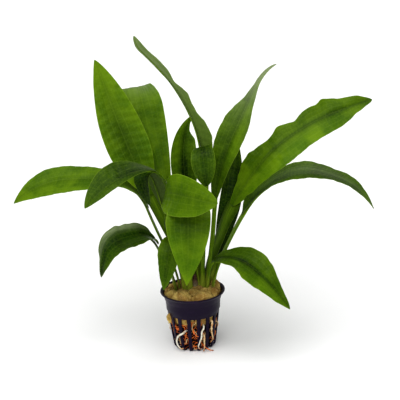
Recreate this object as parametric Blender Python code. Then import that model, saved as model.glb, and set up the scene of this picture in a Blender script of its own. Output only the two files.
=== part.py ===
"""Potted amazon sword plant: a rosette of stalked leaves in a plug of rock
wool, held by a slotted plastic net pot, with roots coming out of the slots.

Lengths below are in millimetres and are turned into metres when a mesh is
made. The origin is the centre of the pot's underside, with +Z up, and the
front of the plant faces -Y.
"""
import math

import bmesh
import bpy
import numpy as np
from mathutils import Vector

MM = 0.001
SHARP_EDGE = math.radians(35)    # edges sharper than this stay sharp

# Net pot
SLOTS = 16                  # slots round the pot
SLOT_SHARE = 0.62           # part of each pitch that is open
FRONT = math.radians(-90)   # direction of the middle of the front slot
POT_WALL = [                # (outer radius, outer z, inner radius, inner z)
    (8.0, 0.0, 8.0, 1.2),
    (11.5, 0.0, 11.5, 1.2),
    (15.8, 0.0, 15.0, 1.2),
    (17.2, 0.8, 16.2, 2.0),
    (17.9, 2.6, 16.8, 3.4),
    (19.3, 12.0, 18.2, 12.0),
    (21.6, 30.0, 20.5, 30.0),
    (21.9, 32.2, 20.8, 32.2),
    (22.5, 33.4, 21.3, 33.4),
    (23.1, 40.5, 22.0, 40.5),
    (23.9, 42.5, 22.8, 42.5),
    (25.3, 46.8, 24.2, 47.0),
    (27.0, 47.7, 25.6, 48.0),
    (27.0, 48.7, 25.9, 48.7),
]
FIRST_OPEN_BAND = 1         # the slots run from this row of POT_WALL
LAST_OPEN_BAND = 5          # up to the end of this one

# Rock wool plug
WOOL_SIDES = 20
WOOL_BODY = [               # (radius, z) from the underside to the brim
    (12.5, 1.6),
    (13.6, 20.0),
    (15.5, 26.5),
    (19.4, 30.6),
    (21.1, 40.0),
    (22.4, 44.5),
]
WOOL_LEVEL = 48.2           # height of the top between its lumps
WOOL_TOP_RADII = [20.8, 18.0, 14.0, 9.5, 4.5]
WOOL_LUMPS = [              # (x, y, height, spread) of the torn tufts on top
    (-8.0, -14.5, 5.0, 5.0),
    (10.0, -14.5, 4.2, 5.5),
    (-20.0, -2.0, 1.8, 4.5),
    (19.5, 9.0, 5.5, 4.6),
    (-16.5, 15.0, 1.5, 4.0),
    (3.0, 20.5, 2.4, 4.5),
]

# Crown: the stub of the old rootstock between the leaves
CROWN_CENTRE = (2.3, 4.2)
CROWN_SIDES = 10
CROWN_PROFILE = [           # (radius, height above the wool)
    (1.5, 0.4),
    (2.2, 2.0),
    (2.1, 5.0),
    (1.6, 8.0),
    (1.3, 10.5),
    (0.6, 12.0),
]

# Leaves
STALK_STATIONS = 5          # rings along the stalk
BLADE_STATIONS = 12         # rings along the blade
STALK = (1.7, 2.4)          # half width and thickness of a stalk
BLADE_THICKNESS = 0.7
BLADE_EDGE = 0.42           # thickness of a blade at its edge
STALK_SHOULDER = 0.62       # depth of a stalk beside its keel, as a share
STALK_EDGE = 0.30           # depth of a stalk at its edge, as a share
RIB_THICKNESS = 0.7         # midrib's thickness, as a share of the stalk's
RIB_HALF_WIDTH = 1.1        # half width of the midrib under a blade
RIB_MOST = 0.45             # most of the half width that the rib may take
STALK_TAPER = 0.85          # part of the rib that is lost towards the tip
TAPER_CURVE = 0.7           # below 1, the rib thins most where the blade starts
TIP_HALF_WIDTH = 0.35
CURVE_STEPS = 200           # steps in which a smooth curve is measured
EVEN_EDGE = [(0, 1), (1, 1)]    # the factors of a margin that is not uneven
EDGE_SOFTNESS = 0.03        # shares on both sides over which a factor is evened out
# Points round a leaf: the side of the midrib, the place out, and the layer
LEAF_OUTLINE = [
    (-1, 1.0, "top"), (-1, 0.5, "top"), (1, 0.0, "top"), (1, 0.5, "top"), (1, 1.0, "top"),
    (1, 0.98, "edge"), (1, 0.0, "shoulder"), (1, 0.0, "rib"),
    (-1, 0.0, "shoulder"), (-1, 0.98, "edge"),
]
FOOT_RISE = 0.5             # a foot's clearance over the wool
ROUTE_STEP = 1.0            # distance between the points of a leaf's route

# Each leaf grows from its foot (x, y) on the wool to its whole length, of
# which the blade is the last part. Its course says how it travels: at a share
# of its length, its lean from upright and its heading, both in degrees. A
# heading of 0 is to the right, 90 to the back, 180 to the left and 270 to the
# front, and a lean over 90 droops. The blade has the width of each half, the
# place along it where it is widest, how drawn out its base and its tip are
# (below 1 is blunt), the angle by which each half is folded up, and the
# direction of its right-hand side from where it starts to its tip. A pair of
# values is for the left half and the right half. Uneven margins have factors
# on their width, at shares of the blade's length.
LEAVES = {
    "leaf_far_left": dict(
        foot=(-10.5, 9), length=200, blade=128,
        course=[(0, 7, 180), (0.15, 24, 172), (0.36, 23, 150), (0.5, 71, 160),
                (0.62, 90, 168), (0.75, 92, 176), (1, 132, 187)],
        half_width=(16.5, 13.5), widest=0.62, ends=(1.4, 0.8), fold=(4, 12),
        edge={"left": [(0, 3), (0.1, 2.2), (0.2, 1), (1, 1)],
              "right": [(0, 3), (0.1, 2.2), (0.2, 1), (1, 1)]},
        side=[(0, 1, 0.2), (0.1, 0.75, 0.66)]),
    "leaf_arched_left": dict(
        foot=(5.2, 6.5), length=190, blade=74,
        course=[(0, 2, 160), (0.3, 18, 165), (0.4, 15, 210), (0.6, 58, 242),
                (0.75, 97, 212), (1, 136, 202)],
        half_width=(8.8, 15.5), widest=0.52, ends=(0.8, 0.75), fold=8,
        edge={"left": [(0, 0.6), (0.5, 0.6), (0.8, 0.9), (1, 1)],
              "right": [(0, 1), (0.7, 1), (1, 0.8)]},
        side=[(-0.6, 0.7, 0.2), (-0.5, 0.5, 0.6)], stalk=(1.1, 1.9)),
    "leaf_tall_left": dict(
        foot=(-2.5, 10.5), length=203, blade=120,
        course=[(0, 10, 150), (0.15, 22, 168), (0.4, 26, 163), (0.6, 23, 154),
                (0.8, 21, 145), (1, 25, 138)],
        half_width=(17.0, 18.5), widest=0.4, ends=(0.7, 0.75), fold=6,
        edge={"left": [(0, 1), (0.6, 1), (0.85, 0.95), (1, 0.8)]},
        side=[(1, 0.2, 0.1), (1, 0.1, 0.3)]),
    "leaf_folded_back": dict(
        foot=(2, 12.5), length=209, blade=134,
        course=[(0, 9, 112), (0.15, 21, 145), (0.4, 24, 134), (0.73, 23, 116),
                (0.8, 48, 106), (0.87, 118, 95), (1, 150, 94)],
        half_width=(14.5, 16.0), widest=0.62, ends=(0.75, 0.5), fold=3,
        edge={"right": [(0, 1), (0.6, 1.02), (0.66, 0.97), (0.8, 0.66), (1, 0.6)]},
        side=[(1, 0.2, 0), (1, 0.1, 0.2)]),
    "leaf_centre_back": dict(
        foot=(6.6, 11), length=143, blade=76,
        course=[(0, 3, 90), (0.2, 8, 135), (0.5, 13, 135), (0.73, 10, 90),
                (1, 30, 20)],
        half_width=12.5, widest=0.5, ends=(0.6, 0.75), fold=30,
        edge={"right": [(0, 1), (0.76, 1), (0.84, 0.4), (0.93, 0.3), (1, 1)]},
        side=[(1, 0, 0), (1, 0.1, 0)]),
    "leaf_slender_top": dict(
        foot=(8.2, 16.3), length=231, blade=139,
        course=[(0, 4, 280), (0.15, 6, 333), (0.4, 3, 270), (0.52, 10, 222),
                (0.62, 22, 210), (0.7, 28, 207), (0.8, 36, 207), (0.9, 43, 207),
                (0.94, 44, 207), (0.97, 22, 207), (1, 8, 207)],
        half_width=13.0, widest=0.3, ends=(0.8, 0.6), fold=24,
        edge={"left": [(0, 1), (0.26, 1), (0.335, 0.8), (0.41, 0.5), (0.47, 0.52),
                       (0.54, 0.7), (0.58, 0.55), (0.63, 0.25), (0.7, 0.46),
                       (0.8, 0.6), (0.88, 0.7), (0.95, 1.1), (1, 1)],
              "right": [(0, 1), (0.26, 0.8), (0.41, 0.45), (0.54, 0.55), (0.63, 0.3),
                        (0.7, 0.45), (0.88, 0.6), (1, 1)]},
        side=[(-0.5, 0.85, -0.1), (-0.45, 0.75, -0.25), (-0.55, 0.45, -0.5)]),
    "leaf_nodding_centre": dict(
        foot=(8.5, 6), length=163, blade=51,
        course=[(0, 4, 300), (0.4, 9, 307), (0.69, 3, 275), (0.74, 25, 262),
                (0.8, 95, 265), (0.87, 163, 280), (1, 172, 295)],
        half_width=(9.0, 10.0), widest=0.62, ends=(0.95, 0.6), fold=2,
        side=[(-1, 0, -0.1), (-1, 0.1, -0.5)]),
    "leaf_tall_right": dict(
        foot=(12.3, 5.5), length=205, blade=132,
        course=[(0, 8, -40), (0.13, 11, -38), (0.3, 5, -10), (0.5, 17, 12),
                (0.62, 27, 22), (0.72, 34, 36), (0.8, 36, 46), (0.88, 49, 46),
                (0.95, 68, 44), (1, 82, 42)],
        half_width=(12.0, 13.5), widest=0.42, ends=(0.8, 0.6), fold=(30, 14),
        edge={"left": [(0, 0.7), (0.25, 0.9), (0.45, 1.05), (0.54, 1.05), (0.61, 0.8), (0.69, 0.38),
                       (0.78, 0.18), (1, 0.3)],
              "right": [(0, 0.7), (0.3, 0.85), (0.5, 0.98), (0.56, 0.85), (0.63, 0.6),
                        (0.7, 0.5), (0.8, 0.3), (1, 0.35)]},
        side=[(0.75, -0.6, -0.2), (0.75, -0.6, -0.2), (0.75, -0.55, -0.35)]),
    "leaf_behind_right": dict(
        foot=(15.5, 11.5), length=122, blade=76,
        course=[(0, 14, 10), (0.2, 25, 22), (0.45, 25, 36), (0.7, 17, 70),
                (1, 14, 90)],
        half_width=(9.5, 4.0), widest=0.45, ends=(0.7, 0.9), fold=12,
        side=[(1, 0, 0), (1, 0, 0)], stalk=(1.3, 2.0)),
    "leaf_upper_front": dict(
        foot=(-6.5, 8), length=152, blade=81,
        course=[(0, 4, 250), (0.25, 11, 205), (0.42, 16, 205), (0.52, 34, 262),
                (0.61, 58, 294), (0.71, 86, 307), (1, 93, 330)],
        half_width=(16.5, 18.0), widest=0.46, ends=(0.45, 0.62), fold=4,
        edge={"left": [(0, 0.5), (0.12, 0.65), (0.28, 0.87), (0.45, 1), (1, 1)],
              "right": [(0, 0.2), (0.12, 0.35), (0.22, 0.55), (0.36, 0.92), (0.7, 1), (0.85, 1.15),
                        (1, 1)]},
        side=[(-0.25, -0.2, -0.93), (-0.3, -0.45, -0.85)]),
    "leaf_front_hanging": dict(
        foot=(-2.1, 2.6), length=150, blade=88,
        course=[(0, 6, 290), (0.35, 10, 272), (0.45, 24, 270), (0.52, 52, 270),
                (0.65, 148, 270), (0.75, 170, 258), (1, 172, 222)],
        half_width=(18.0, 18.5), widest=0.36, ends=(0.95, 1.0), fold=3,
        edge={"right": [(0, 0.55), (0.22, 0.7), (0.42, 0.97), (1, 1)]},
        side=[(-1, 0, 0), (-1, 0, 0)]),
    "leaf_large_right": dict(
        foot=(10.6, 10.5), length=222, blade=150,
        course=[(0, 11, -12), (0.15, 23, -10), (0.22, 21, 4), (0.35, 34, 18),
                (0.5, 43, 17), (0.65, 59, 14), (0.85, 74, 13), (1, 80, 14)],
        half_width=(14.0, 19.0), widest=0.42, ends=(0.6, 0.62), fold=(8, 3),
        edge={"left": [(0, 1), (0.2, 1.1), (0.28, 1.12), (0.36, 0.85), (0.41, 0.68),
                       (0.47, 0.92), (0.51, 0.84), (0.56, 0.66), (0.63, 1.02),
                       (0.68, 1.02), (0.715, 1.05), (0.74, 1.4), (0.79, 1.3),
                       (0.85, 1.15), (0.93, 1.3), (1, 1)],
              "right": [(0, 1.1), (0.3, 1.05), (0.55, 0.95), (0.7, 1.0), (0.78, 1.05),
                        (0.85, 0.98), (0.88, 0.8), (0.92, 0.85), (0.96, 0.7),
                        (1, 0.9)]},
        side=[(0.25, -0.75, -0.45), (0.4, -0.5, -0.75)]),
    "leaf_drooping_right": dict(
        foot=(16.4, 1), length=199, blade=127,
        course=[(0, 12, -9), (0.17, 26, -25), (0.32, 28.5, -16), (0.42, 38, -14),
                (0.61, 68, -15), (0.73, 95, -17), (0.88, 121, -18), (1, 147, -28)],
        half_width=(13.0, 9.0), widest=0.52, ends=(0.8, 0.75), fold=10,
        edge={"left": [(0, 0.6), (0.04, 2.4), (0.08, 2.0), (0.13, 1.0), (0.7, 0.97),
                       (0.76, 1.08), (0.86, 1.0), (1, 1.1)],
              "right": [(0, 0.8), (0.5, 0.95), (0.66, 1.2), (0.8, 1.0), (1, 1)]},
        side=[(0.2, -1, -0.1), (0, -0.93, -0.33)]),
    "leaf_low_right": dict(
        foot=(12.7, 1.6), length=113, blade=84,
        course=[(0, 6, -60), (0.12, 20, -66), (0.25, 44, -58), (0.36, 76, -33),
                (0.46, 98, -24), (0.6, 121, -30), (1, 146, -26)],
        half_width=15.5, widest=0.34, ends=(0.6, 0.8), fold=8,
        edge={"left": [(0, 0.7), (0.19, 0.8), (0.32, 1.05), (0.46, 1.08), (0.6, 1),
                       (0.73, 0.8), (0.87, 0.62), (1, 0.8)],
              "right": [(0, 0.8), (0.32, 0.75), (0.46, 1.05), (0.6, 1.12),
                        (0.73, 1.22), (0.87, 1.3), (1, 1.1)]},
        side=[(-0.45, -0.8, -0.2), (-0.3, -0.75, -0.6)], stalk=(1.2, 2.0)),
    "leaf_low_left": dict(
        foot=(-14.5, 9), length=117, blade=74,
        course=[(0, 6, 214), (0.15, 24, 200), (0.36, 26, 215), (0.46, 54, 214),
                (0.54, 84, 212), (0.67, 92, 211), (0.76, 118, 214), (0.85, 150, 228),
                (1, 166, 250)],
        half_width=(16.0, 13.0), widest=0.55, ends=(0.6, 0.7), fold=(18, 20),
        edge={"left": [(0, 1), (0.2, 1.15), (0.5, 1.15), (0.8, 1), (1, 1)],
              "right": [(0, 1), (0.5, 0.95), (0.66, 0.7), (0.82, 0.35), (1, 0.4)]},
        side=[(-0.3, 0.9, 0.2), (-0.4, 0.6, 0.65)], stalk=(1.9, 2.6)),
    "leaf_low_front": dict(
        foot=(-6.5, 3.5), length=97, blade=64,
        course=[(0, 9, 210), (0.3, 10, 250), (0.42, 24, 262), (0.52, 60, 248),
                (0.61, 128, 247), (0.72, 162, 242), (1, 167, 198)],
        half_width=(9.5, 9.0), widest=0.5, ends=(0.7, 0.85), fold=8,
        side=[(-0.9, 0.4, 0), (-0.9, 0.4, 0)], stalk=(1.4, 2.2)),
    "leaf_shaded_left": dict(
        foot=(-6.8, 11.2), length=139, blade=58,
        course=[(0, 10, 225), (0.3, 13, 186), (0.6, 15, 190), (0.69, 18, 205),
                (0.75, 48, 214), (0.81, 122, 248), (0.87, 153, 300), (1, 152, 330)],
        half_width=(9.0, 7.5), widest=0.55, ends=(0.8, 0.7), fold=6,
        side=[(-0.65, 0.75, 0), (-0.8, 0.6, 0)], stalk=(1.4, 2.2)),
}

# Main roots: the angle round the pot from its front (degrees, to the right),
# the height, and how far off the pot's wall each runs, negative inside it
ROOT_SIDES = 6
ROOT_STEP = 2.2             # distance between the rings of a root
ROOT_LEAST_RINGS = 6
ROOT_TAPER = 0.45           # part of a root's thickness that is lost at its tip
ROOT_ROUGHNESS = 0.55
PALE_ROOT = (0.82, 0.80, 0.72, 1.0)
TAN_ROOT = (0.72, 0.46, 0.26, 1.0)
BROWN_ROOT = (0.45, 0.20, 0.10, 1.0)
ROOTS = {
    "root_white_hook": dict(
        route=[(-22, 18.5, -4.5), (-25, 18, -1), (-27, 17.5, 1.8), (-38, 14.5, 2),
               (-45, 9.5, 2), (-44, 5.5, 2), (-36, 3, 2.2), (-27, 4, 2.5)],
        thick=1.7, colour=PALE_ROOT),
    "root_white_front": dict(
        route=[(26, 23, -4.6), (24, 23, -1.2), (20, 22, 2), (16, 19.5, 2.4),
               (15, 14, 2.4), (11, 9.5, 2.2), (8, 5.5, 2), (13, 2.8, 2)],
        thick=1.5, colour=PALE_ROOT),
    "root_long_pale": dict(
        route=[(24, 15.5, -4.2), (23, 15.5, -1.3), (21.5, 15, 2.2), (21, 11, 3),
               (21, 5.5, 3.6), (19, 1.2, 4)],
        thick=1.5, colour=TAN_ROOT),
    "root_tan_right": dict(
        route=[(46, 25, -4.8), (44, 26, -2), (42, 26, 1.4), (40.5, 21.5, 1.7),
               (41, 17, 1.7), (45, 12, 1.8), (46, 9, 1.7), (46, 5.6, -0.9)],
        thick=1.7, colour=TAN_ROOT),
    "root_thin_right": dict(
        route=[(65, 23.5, -5), (65, 23.4, -2.4), (65, 22, 1.2), (64, 18.4, 1.4)],
        thick=1.0, colour=TAN_ROOT),
    "root_brown_foot": dict(
        route=[(20, 7.2, -5.2), (21, 6.6, -2), (21, 5.8, 1.5), (27, 3.4, 3),
               (35, 1.3, 4.6), (41, 0.8, 6)],
        thick=1.1, colour=BROWN_ROOT),
    "root_pale_left": dict(
        route=[(-70, 24.5, -4.2), (-69, 24.5, -0.9), (-68, 24.2, 1.9),
               (-67, 20.6, 1.6), (-67, 17, 1.5)],
        thick=1.1, colour=PALE_ROOT),
    "root_orange_front": dict(
        route=[(-2, 20, -5.6), (-2, 20, -2.2), (-1, 19, 1.4), (4, 16.4, 2.1),
               (9, 15, 2)],
        thick=1.3, colour=BROWN_ROOT),
}

# Finishes: colour (linear RGB) and roughness
POT_FINISH = ((0.012, 0.010, 0.018, 1.0), 0.42)
WOOL_FINISH = ((0.26, 0.20, 0.06, 1.0), 0.95)
CROWN_FINISH = ((0.16, 0.10, 0.06, 1.0), 0.8)
LEAF_FINISH = ((0.07, 0.20, 0.012, 1.0), 0.42)


def clear_scene():
    """Remove every object that is already there."""
    for obj in list(bpy.data.objects):
        bpy.data.objects.remove(obj, do_unlink=True)


def make_material(name, colour, roughness):
    """A Principled material of one colour."""
    material = bpy.data.materials.new(name)
    material.use_nodes = True
    shader = material.node_tree.nodes["Principled BSDF"]
    shader.inputs["Base Color"].default_value = colour
    shader.inputs["Roughness"].default_value = roughness
    shader.inputs["Metallic"].default_value = 0.0
    return material


def add_piece(name, points, faces, material):
    """Make an object from points in millimetres and faces that list them."""
    work = bmesh.new()
    verts = [work.verts.new(Vector(point) * MM) for point in points]
    for face in faces:
        work.faces.new([verts[index] for index in face])
    bmesh.ops.recalc_face_normals(work, faces=work.faces)
    mesh = bpy.data.meshes.new(name)
    work.to_mesh(mesh)
    work.free()
    mesh.materials.append(material)
    mesh.shade_smooth()
    mesh.set_sharp_from_angle(angle=SHARP_EDGE)
    obj = bpy.data.objects.new(name, mesh)
    bpy.context.scene.collection.objects.link(obj)
    return obj


def loft(rings):
    """Points and faces of a closed tube through rings of equal size."""
    sides = len(rings[0])
    points = [point for ring in rings for point in ring]
    faces = [list(range(sides))]
    for row in range(len(rings) - 1):
        for side in range(sides):
            following = (side + 1) % sides
            low = row * sides
            high = low + sides
            faces.append([low + side, low + following, high + following, high + side])
    last = (len(rings) - 1) * sides
    faces.append(list(range(last, last + sides)))
    return points, faces


def curve_point(points, at):
    """The point at a position along a smooth curve through all the points."""
    index = min(int(at), len(points) - 2)
    share = at - index
    here = points[index]
    following = points[index + 1]
    before = points[index - 1] if index > 0 else here * 2 - following
    after = points[index + 2] if index + 2 < len(points) else following * 2 - here
    slope_in = (following - before) / 2
    slope_out = (after - here) / 2
    square = share * share
    cube = square * share
    return (here * (2 * cube - 3 * square + 1) + slope_in * (cube - 2 * square + share)
            + following * (3 * square - 2 * cube) + slope_out * (cube - square))


def smooth_path(points, start, end, count):
    """Evenly spaced points on the curve between two of its positions."""
    fine = CURVE_STEPS
    places = [start + (end - start) * step / fine for step in range(fine + 1)]
    dense = [curve_point(points, place) for place in places]
    lengths = [0.0]
    for step in range(fine):
        lengths.append(lengths[-1] + (dense[step + 1] - dense[step]).length)
    result = []
    for step in range(count):
        target = lengths[-1] * step / (count - 1)
        index = 0
        while index < fine - 1 and lengths[index + 1] < target:
            index += 1
        span = lengths[index + 1] - lengths[index]
        share = (target - lengths[index]) / span
        result.append(dense[index].lerp(dense[index + 1], share))
    return result


def directions(path):
    """The direction of travel at each point of a path."""
    result = []
    for index in range(len(path)):
        ahead = path[min(index + 1, len(path) - 1)]
        behind = path[max(index - 1, 0)]
        result.append((ahead - behind).normalized())
    return result


def wool_height(x, y):
    """Height of the top of the rock wool at a place."""
    height = WOOL_LEVEL
    for lump_x, lump_y, rise, spread in WOOL_LUMPS:
        away = (x - lump_x) ** 2 + (y - lump_y) ** 2
        height += rise * math.exp(-away / (2 * spread * spread))
    return height


def make_pot(material):
    """The net pot: a turned wall with its slots left open."""
    pitch = 2 * math.pi / SLOTS
    half_slot = pitch * SLOT_SHARE / 2
    angles = []
    for slot in range(SLOTS):
        middle = FRONT + slot * pitch
        angles.append(middle - half_slot)
        angles.append(middle + half_slot)
    columns = len(angles)
    rows = len(POT_WALL)
    points = []
    for outer_radius, outer_z, inner_radius, inner_z in POT_WALL:
        for angle in angles:
            points.append((outer_radius * math.cos(angle), outer_radius * math.sin(angle), outer_z))
        for angle in angles:
            points.append((inner_radius * math.cos(angle), inner_radius * math.sin(angle), inner_z))

    def outer(row, column):
        return row * 2 * columns + column % columns

    def inner(row, column):
        return outer(row, column) + columns

    def is_open(row, column):
        return column % 2 == 0 and FIRST_OPEN_BAND <= row <= LAST_OPEN_BAND

    faces = [[outer(0, column) for column in range(columns)],
             [inner(0, column) for column in range(columns)]]
    for row in range(rows - 1):
        for column in range(columns):
            if is_open(row, column):
                for edge in (column, column + 1):
                    faces.append([outer(row, edge), outer(row + 1, edge),
                                  inner(row + 1, edge), inner(row, edge)])
                continue
            for skin in (outer, inner):
                faces.append([skin(row, column), skin(row, column + 1),
                              skin(row + 1, column + 1), skin(row + 1, column)])
    for column in range(columns):
        faces.append([outer(rows - 1, column), outer(rows - 1, column + 1),
                      inner(rows - 1, column + 1), inner(rows - 1, column)])
        if column % 2 == 0:
            for row in (FIRST_OPEN_BAND, LAST_OPEN_BAND + 1):
                faces.append([outer(row, column), outer(row, column + 1),
                              inner(row, column + 1), inner(row, column)])
    return add_piece("net_pot", points, faces, material)


def make_wool(material):
    """The plug of rock wool: a narrow foot, a full top and torn lumps."""
    rings = []
    for radius, height in WOOL_BODY:
        rings.append([(radius, height)] * WOOL_SIDES)
    for radius in WOOL_TOP_RADII:
        rings.append([(radius, None)] * WOOL_SIDES)
    placed = []
    for ring in rings:
        row = []
        for side, (radius, height) in enumerate(ring):
            angle = 2 * math.pi * side / WOOL_SIDES
            x = radius * math.cos(angle)
            y = radius * math.sin(angle)
            row.append((x, y, wool_height(x, y) if height is None else height))
        placed.append(row)
    points, faces = loft(placed)
    faces.pop()
    middle = len(points)
    points.append((0.0, 0.0, wool_height(0.0, 0.0)))
    start = middle - WOOL_SIDES
    for side in range(WOOL_SIDES):
        faces.append([start + side, start + (side + 1) % WOOL_SIDES, middle])
    return add_piece("rock_wool", points, faces, material)


def make_crown(material):
    """The old rootstock: a short turned stub on the wool."""
    centre_x, centre_y = CROWN_CENTRE
    base = wool_height(centre_x, centre_y)
    rings = []
    for radius, height in CROWN_PROFILE:
        ring = []
        for side in range(CROWN_SIDES):
            angle = 2 * math.pi * side / CROWN_SIDES
            ring.append((centre_x + radius * math.cos(angle),
                         centre_y + radius * math.sin(angle), base + height))
        rings.append(ring)
    points, faces = loft(rings)
    return add_piece("crown", points, faces, material)


def blade_width(share, widest, ends):
    """Width of a blade along its length, as a share of its widest place."""
    if share <= 0.0 or share >= 1.0:
        return 0.0
    base, tip = ends
    if share < widest:
        return math.sin(math.pi / 2 * share / widest) ** base
    return math.cos(math.pi / 2 * (share - widest) / (1 - widest)) ** tip


def both_halves(value):
    """A value for the left and the right half of a blade, from one or from a pair."""
    return value if isinstance(value, tuple) else (value, value)


def half_spreads(leaf, share):
    """Widths of the left and the right half of a blade at a share of its length."""
    spreads = []
    outline = blade_width(share, leaf["widest"], leaf["ends"])
    for name, widest_half in zip(("left", "right"), both_halves(leaf["half_width"])):
        stops = leaf.get("edge", {}).get(name, EVEN_EDGE)
        near = [share - EDGE_SOFTNESS, share, share + EDGE_SOFTNESS]
        factors = np.interp(near, [stop[0] for stop in stops], [stop[1] for stop in stops])
        spreads.append(widest_half * outline * float(factors.mean()))
    return spreads


def leaf_ring(centre, across, normal, widths, thickness, blade, folds):
    """One ring of a leaf: a D-shaped stalk that opens into a thin blade."""
    shoulder = thickness * STALK_SHOULDER * (1 - blade) + BLADE_THICKNESS * blade
    shoulder = max(shoulder, thickness / 2)
    edge = thickness * STALK_EDGE * (1 - blade) + BLADE_EDGE * blade
    ring = []
    for sign, place, kind in LEAF_OUTLINE:
        half = max(widths[sign > 0], TIP_HALF_WIDTH)
        rib = RIB_MOST * (1 - blade) + min(RIB_MOST, RIB_HALF_WIDTH / half) * blade
        depth = {"top": 0.0, "edge": edge, "shoulder": shoulder, "rib": thickness}[kind]
        place = rib if kind == "shoulder" else place
        lift = math.radians(folds[sign > 0]) * blade
        out = sign * place * half * math.cos(lift)
        up = place * half * math.sin(lift)
        ring.append(centre + across * out + normal * (up - depth + thickness / 2))
    return ring


def leaf_route(leaf, foot):
    """Evenly spaced points along a leaf's midrib, from its foot to its tip."""
    shares, leans, headings = zip(*leaf["course"])
    steps = round(leaf["length"] / ROUTE_STEP)
    points = [foot]
    for index in range(steps):
        share = (index + 0.5) / steps
        lean = math.radians(np.interp(share, shares, leans))
        heading = math.radians(np.interp(share, shares, headings))
        way = Vector((math.sin(lean) * math.cos(heading),
                      math.sin(lean) * math.sin(heading), math.cos(lean)))
        points.append(points[-1] + way * leaf["length"] / steps)
    return points


def route_point(route, share):
    """The point at a share of the way along an evenly spaced route."""
    place = share * (len(route) - 1)
    index = min(int(place), len(route) - 2)
    return route[index].lerp(route[index + 1], place - index)


def make_leaf(name, leaf, material):
    """A leaf with its stalk, as one closed skin along its midrib."""
    x, y = leaf["foot"]
    stalk_half, stalk_thick = leaf.get("stalk", STALK)
    ground = max(wool_height(x + dx, y + dy)
                 for dx in (-stalk_half, 0, stalk_half) for dy in (-stalk_half, 0, stalk_half))
    route = leaf_route(leaf, Vector((x, y, ground + FOOT_RISE)))
    blade_start = 1 - leaf["blade"] / leaf["length"]
    shares = [blade_start * ring / STALK_STATIONS for ring in range(STALK_STATIONS)]
    shares += [blade_start + (1 - blade_start) * ring / (BLADE_STATIONS - 1)
               for ring in range(BLADE_STATIONS)]
    path = [route_point(route, share) for share in shares]
    ways = directions(path)
    ways[0] = Vector((0, 0, 1))
    sides = [Vector(side).normalized() for side in leaf["side"]]
    rings = []
    for centre, way, along in zip(path, ways, shares):
        share = max((along - blade_start) / (1 - blade_start), 0.0)
        side = route_point(sides, share)
        across = (side - way * side.dot(way)).normalized()
        normal = across.cross(way)
        spreads = half_spreads(leaf, share)
        taper = 1.0 - STALK_TAPER * share ** TAPER_CURVE
        widths = [math.hypot(spread, stalk_half * taper) for spread in spreads]
        blade = sum(spreads) / sum(widths)
        thickness = stalk_thick * taper * (1 - (1 - RIB_THICKNESS) * blade)
        thickness = max(thickness, BLADE_EDGE)
        rings.append(leaf_ring(centre, across, normal, widths, thickness, blade,
                               both_halves(leaf["fold"])))
    ring_points, faces = loft(rings)
    return add_piece(name, ring_points, faces, material)


def wall_radius(height):
    """Outer radius of the pot's wall at a height."""
    walls = [row for row in POT_WALL if row[1] > 0.0]
    return float(np.interp(height, [row[1] for row in walls], [row[0] for row in walls]))


def wall_point(angle, height, off):
    """A point off the pot's wall, at an angle round from its front."""
    radius = wall_radius(height) + off
    turn = FRONT + math.radians(angle)
    return Vector((radius * math.cos(turn), radius * math.sin(turn), height))


def make_root(name, root):
    """A root: a thin round tube that narrows to its tip."""
    points = [wall_point(*place) for place in root["route"]]
    last = len(points) - 1
    length = sum((points[i + 1] - points[i]).length for i in range(last))
    count = max(ROOT_LEAST_RINGS, round(length / ROOT_STEP))
    path = smooth_path(points, 0, last, count)
    ways = directions(path)
    reference = Vector((0.2, -0.5, 0.84))   # along no root's way, so that none twists
    rings = []
    for index, (centre, way) in enumerate(zip(path, ways)):
        across = way.cross(reference).normalized()
        reference = across.cross(way)
        radius = root["thick"] / 2 * (1.0 - ROOT_TAPER * (index / (count - 1)) ** 2)
        ring = []
        for side in range(ROOT_SIDES):
            angle = 2 * math.pi * side / ROOT_SIDES
            ring.append(centre + across * radius * math.cos(angle)
                        + reference * radius * math.sin(angle))
        rings.append(ring)
    ring_points, faces = loft(rings)
    material = make_material(name + "_skin", root["colour"], ROOT_ROUGHNESS)
    return add_piece(name, ring_points, faces, material)


def build():
    """Build the whole plant."""
    clear_scene()
    make_pot(make_material("pot_plastic", *POT_FINISH))
    make_wool(make_material("wool_fibre", *WOOL_FINISH))
    make_crown(make_material("crown_skin", *CROWN_FINISH))
    for name, leaf in LEAVES.items():
        make_leaf(name, leaf, make_material(name + "_green", *LEAF_FINISH))
    for name, root in ROOTS.items():
        make_root(name, root)


build()
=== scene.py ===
# %% [markdown]
# # A potted amazon sword plant
# This lesson dresses a plant whose plain solids are already made and placed. The
# frame holds those solids, and every new piece is made where its solid stands.
# %% Load the frame
import math
from random import Random

import bpy
import numpy as np
from mathutils import Matrix, Vector, noise


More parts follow.
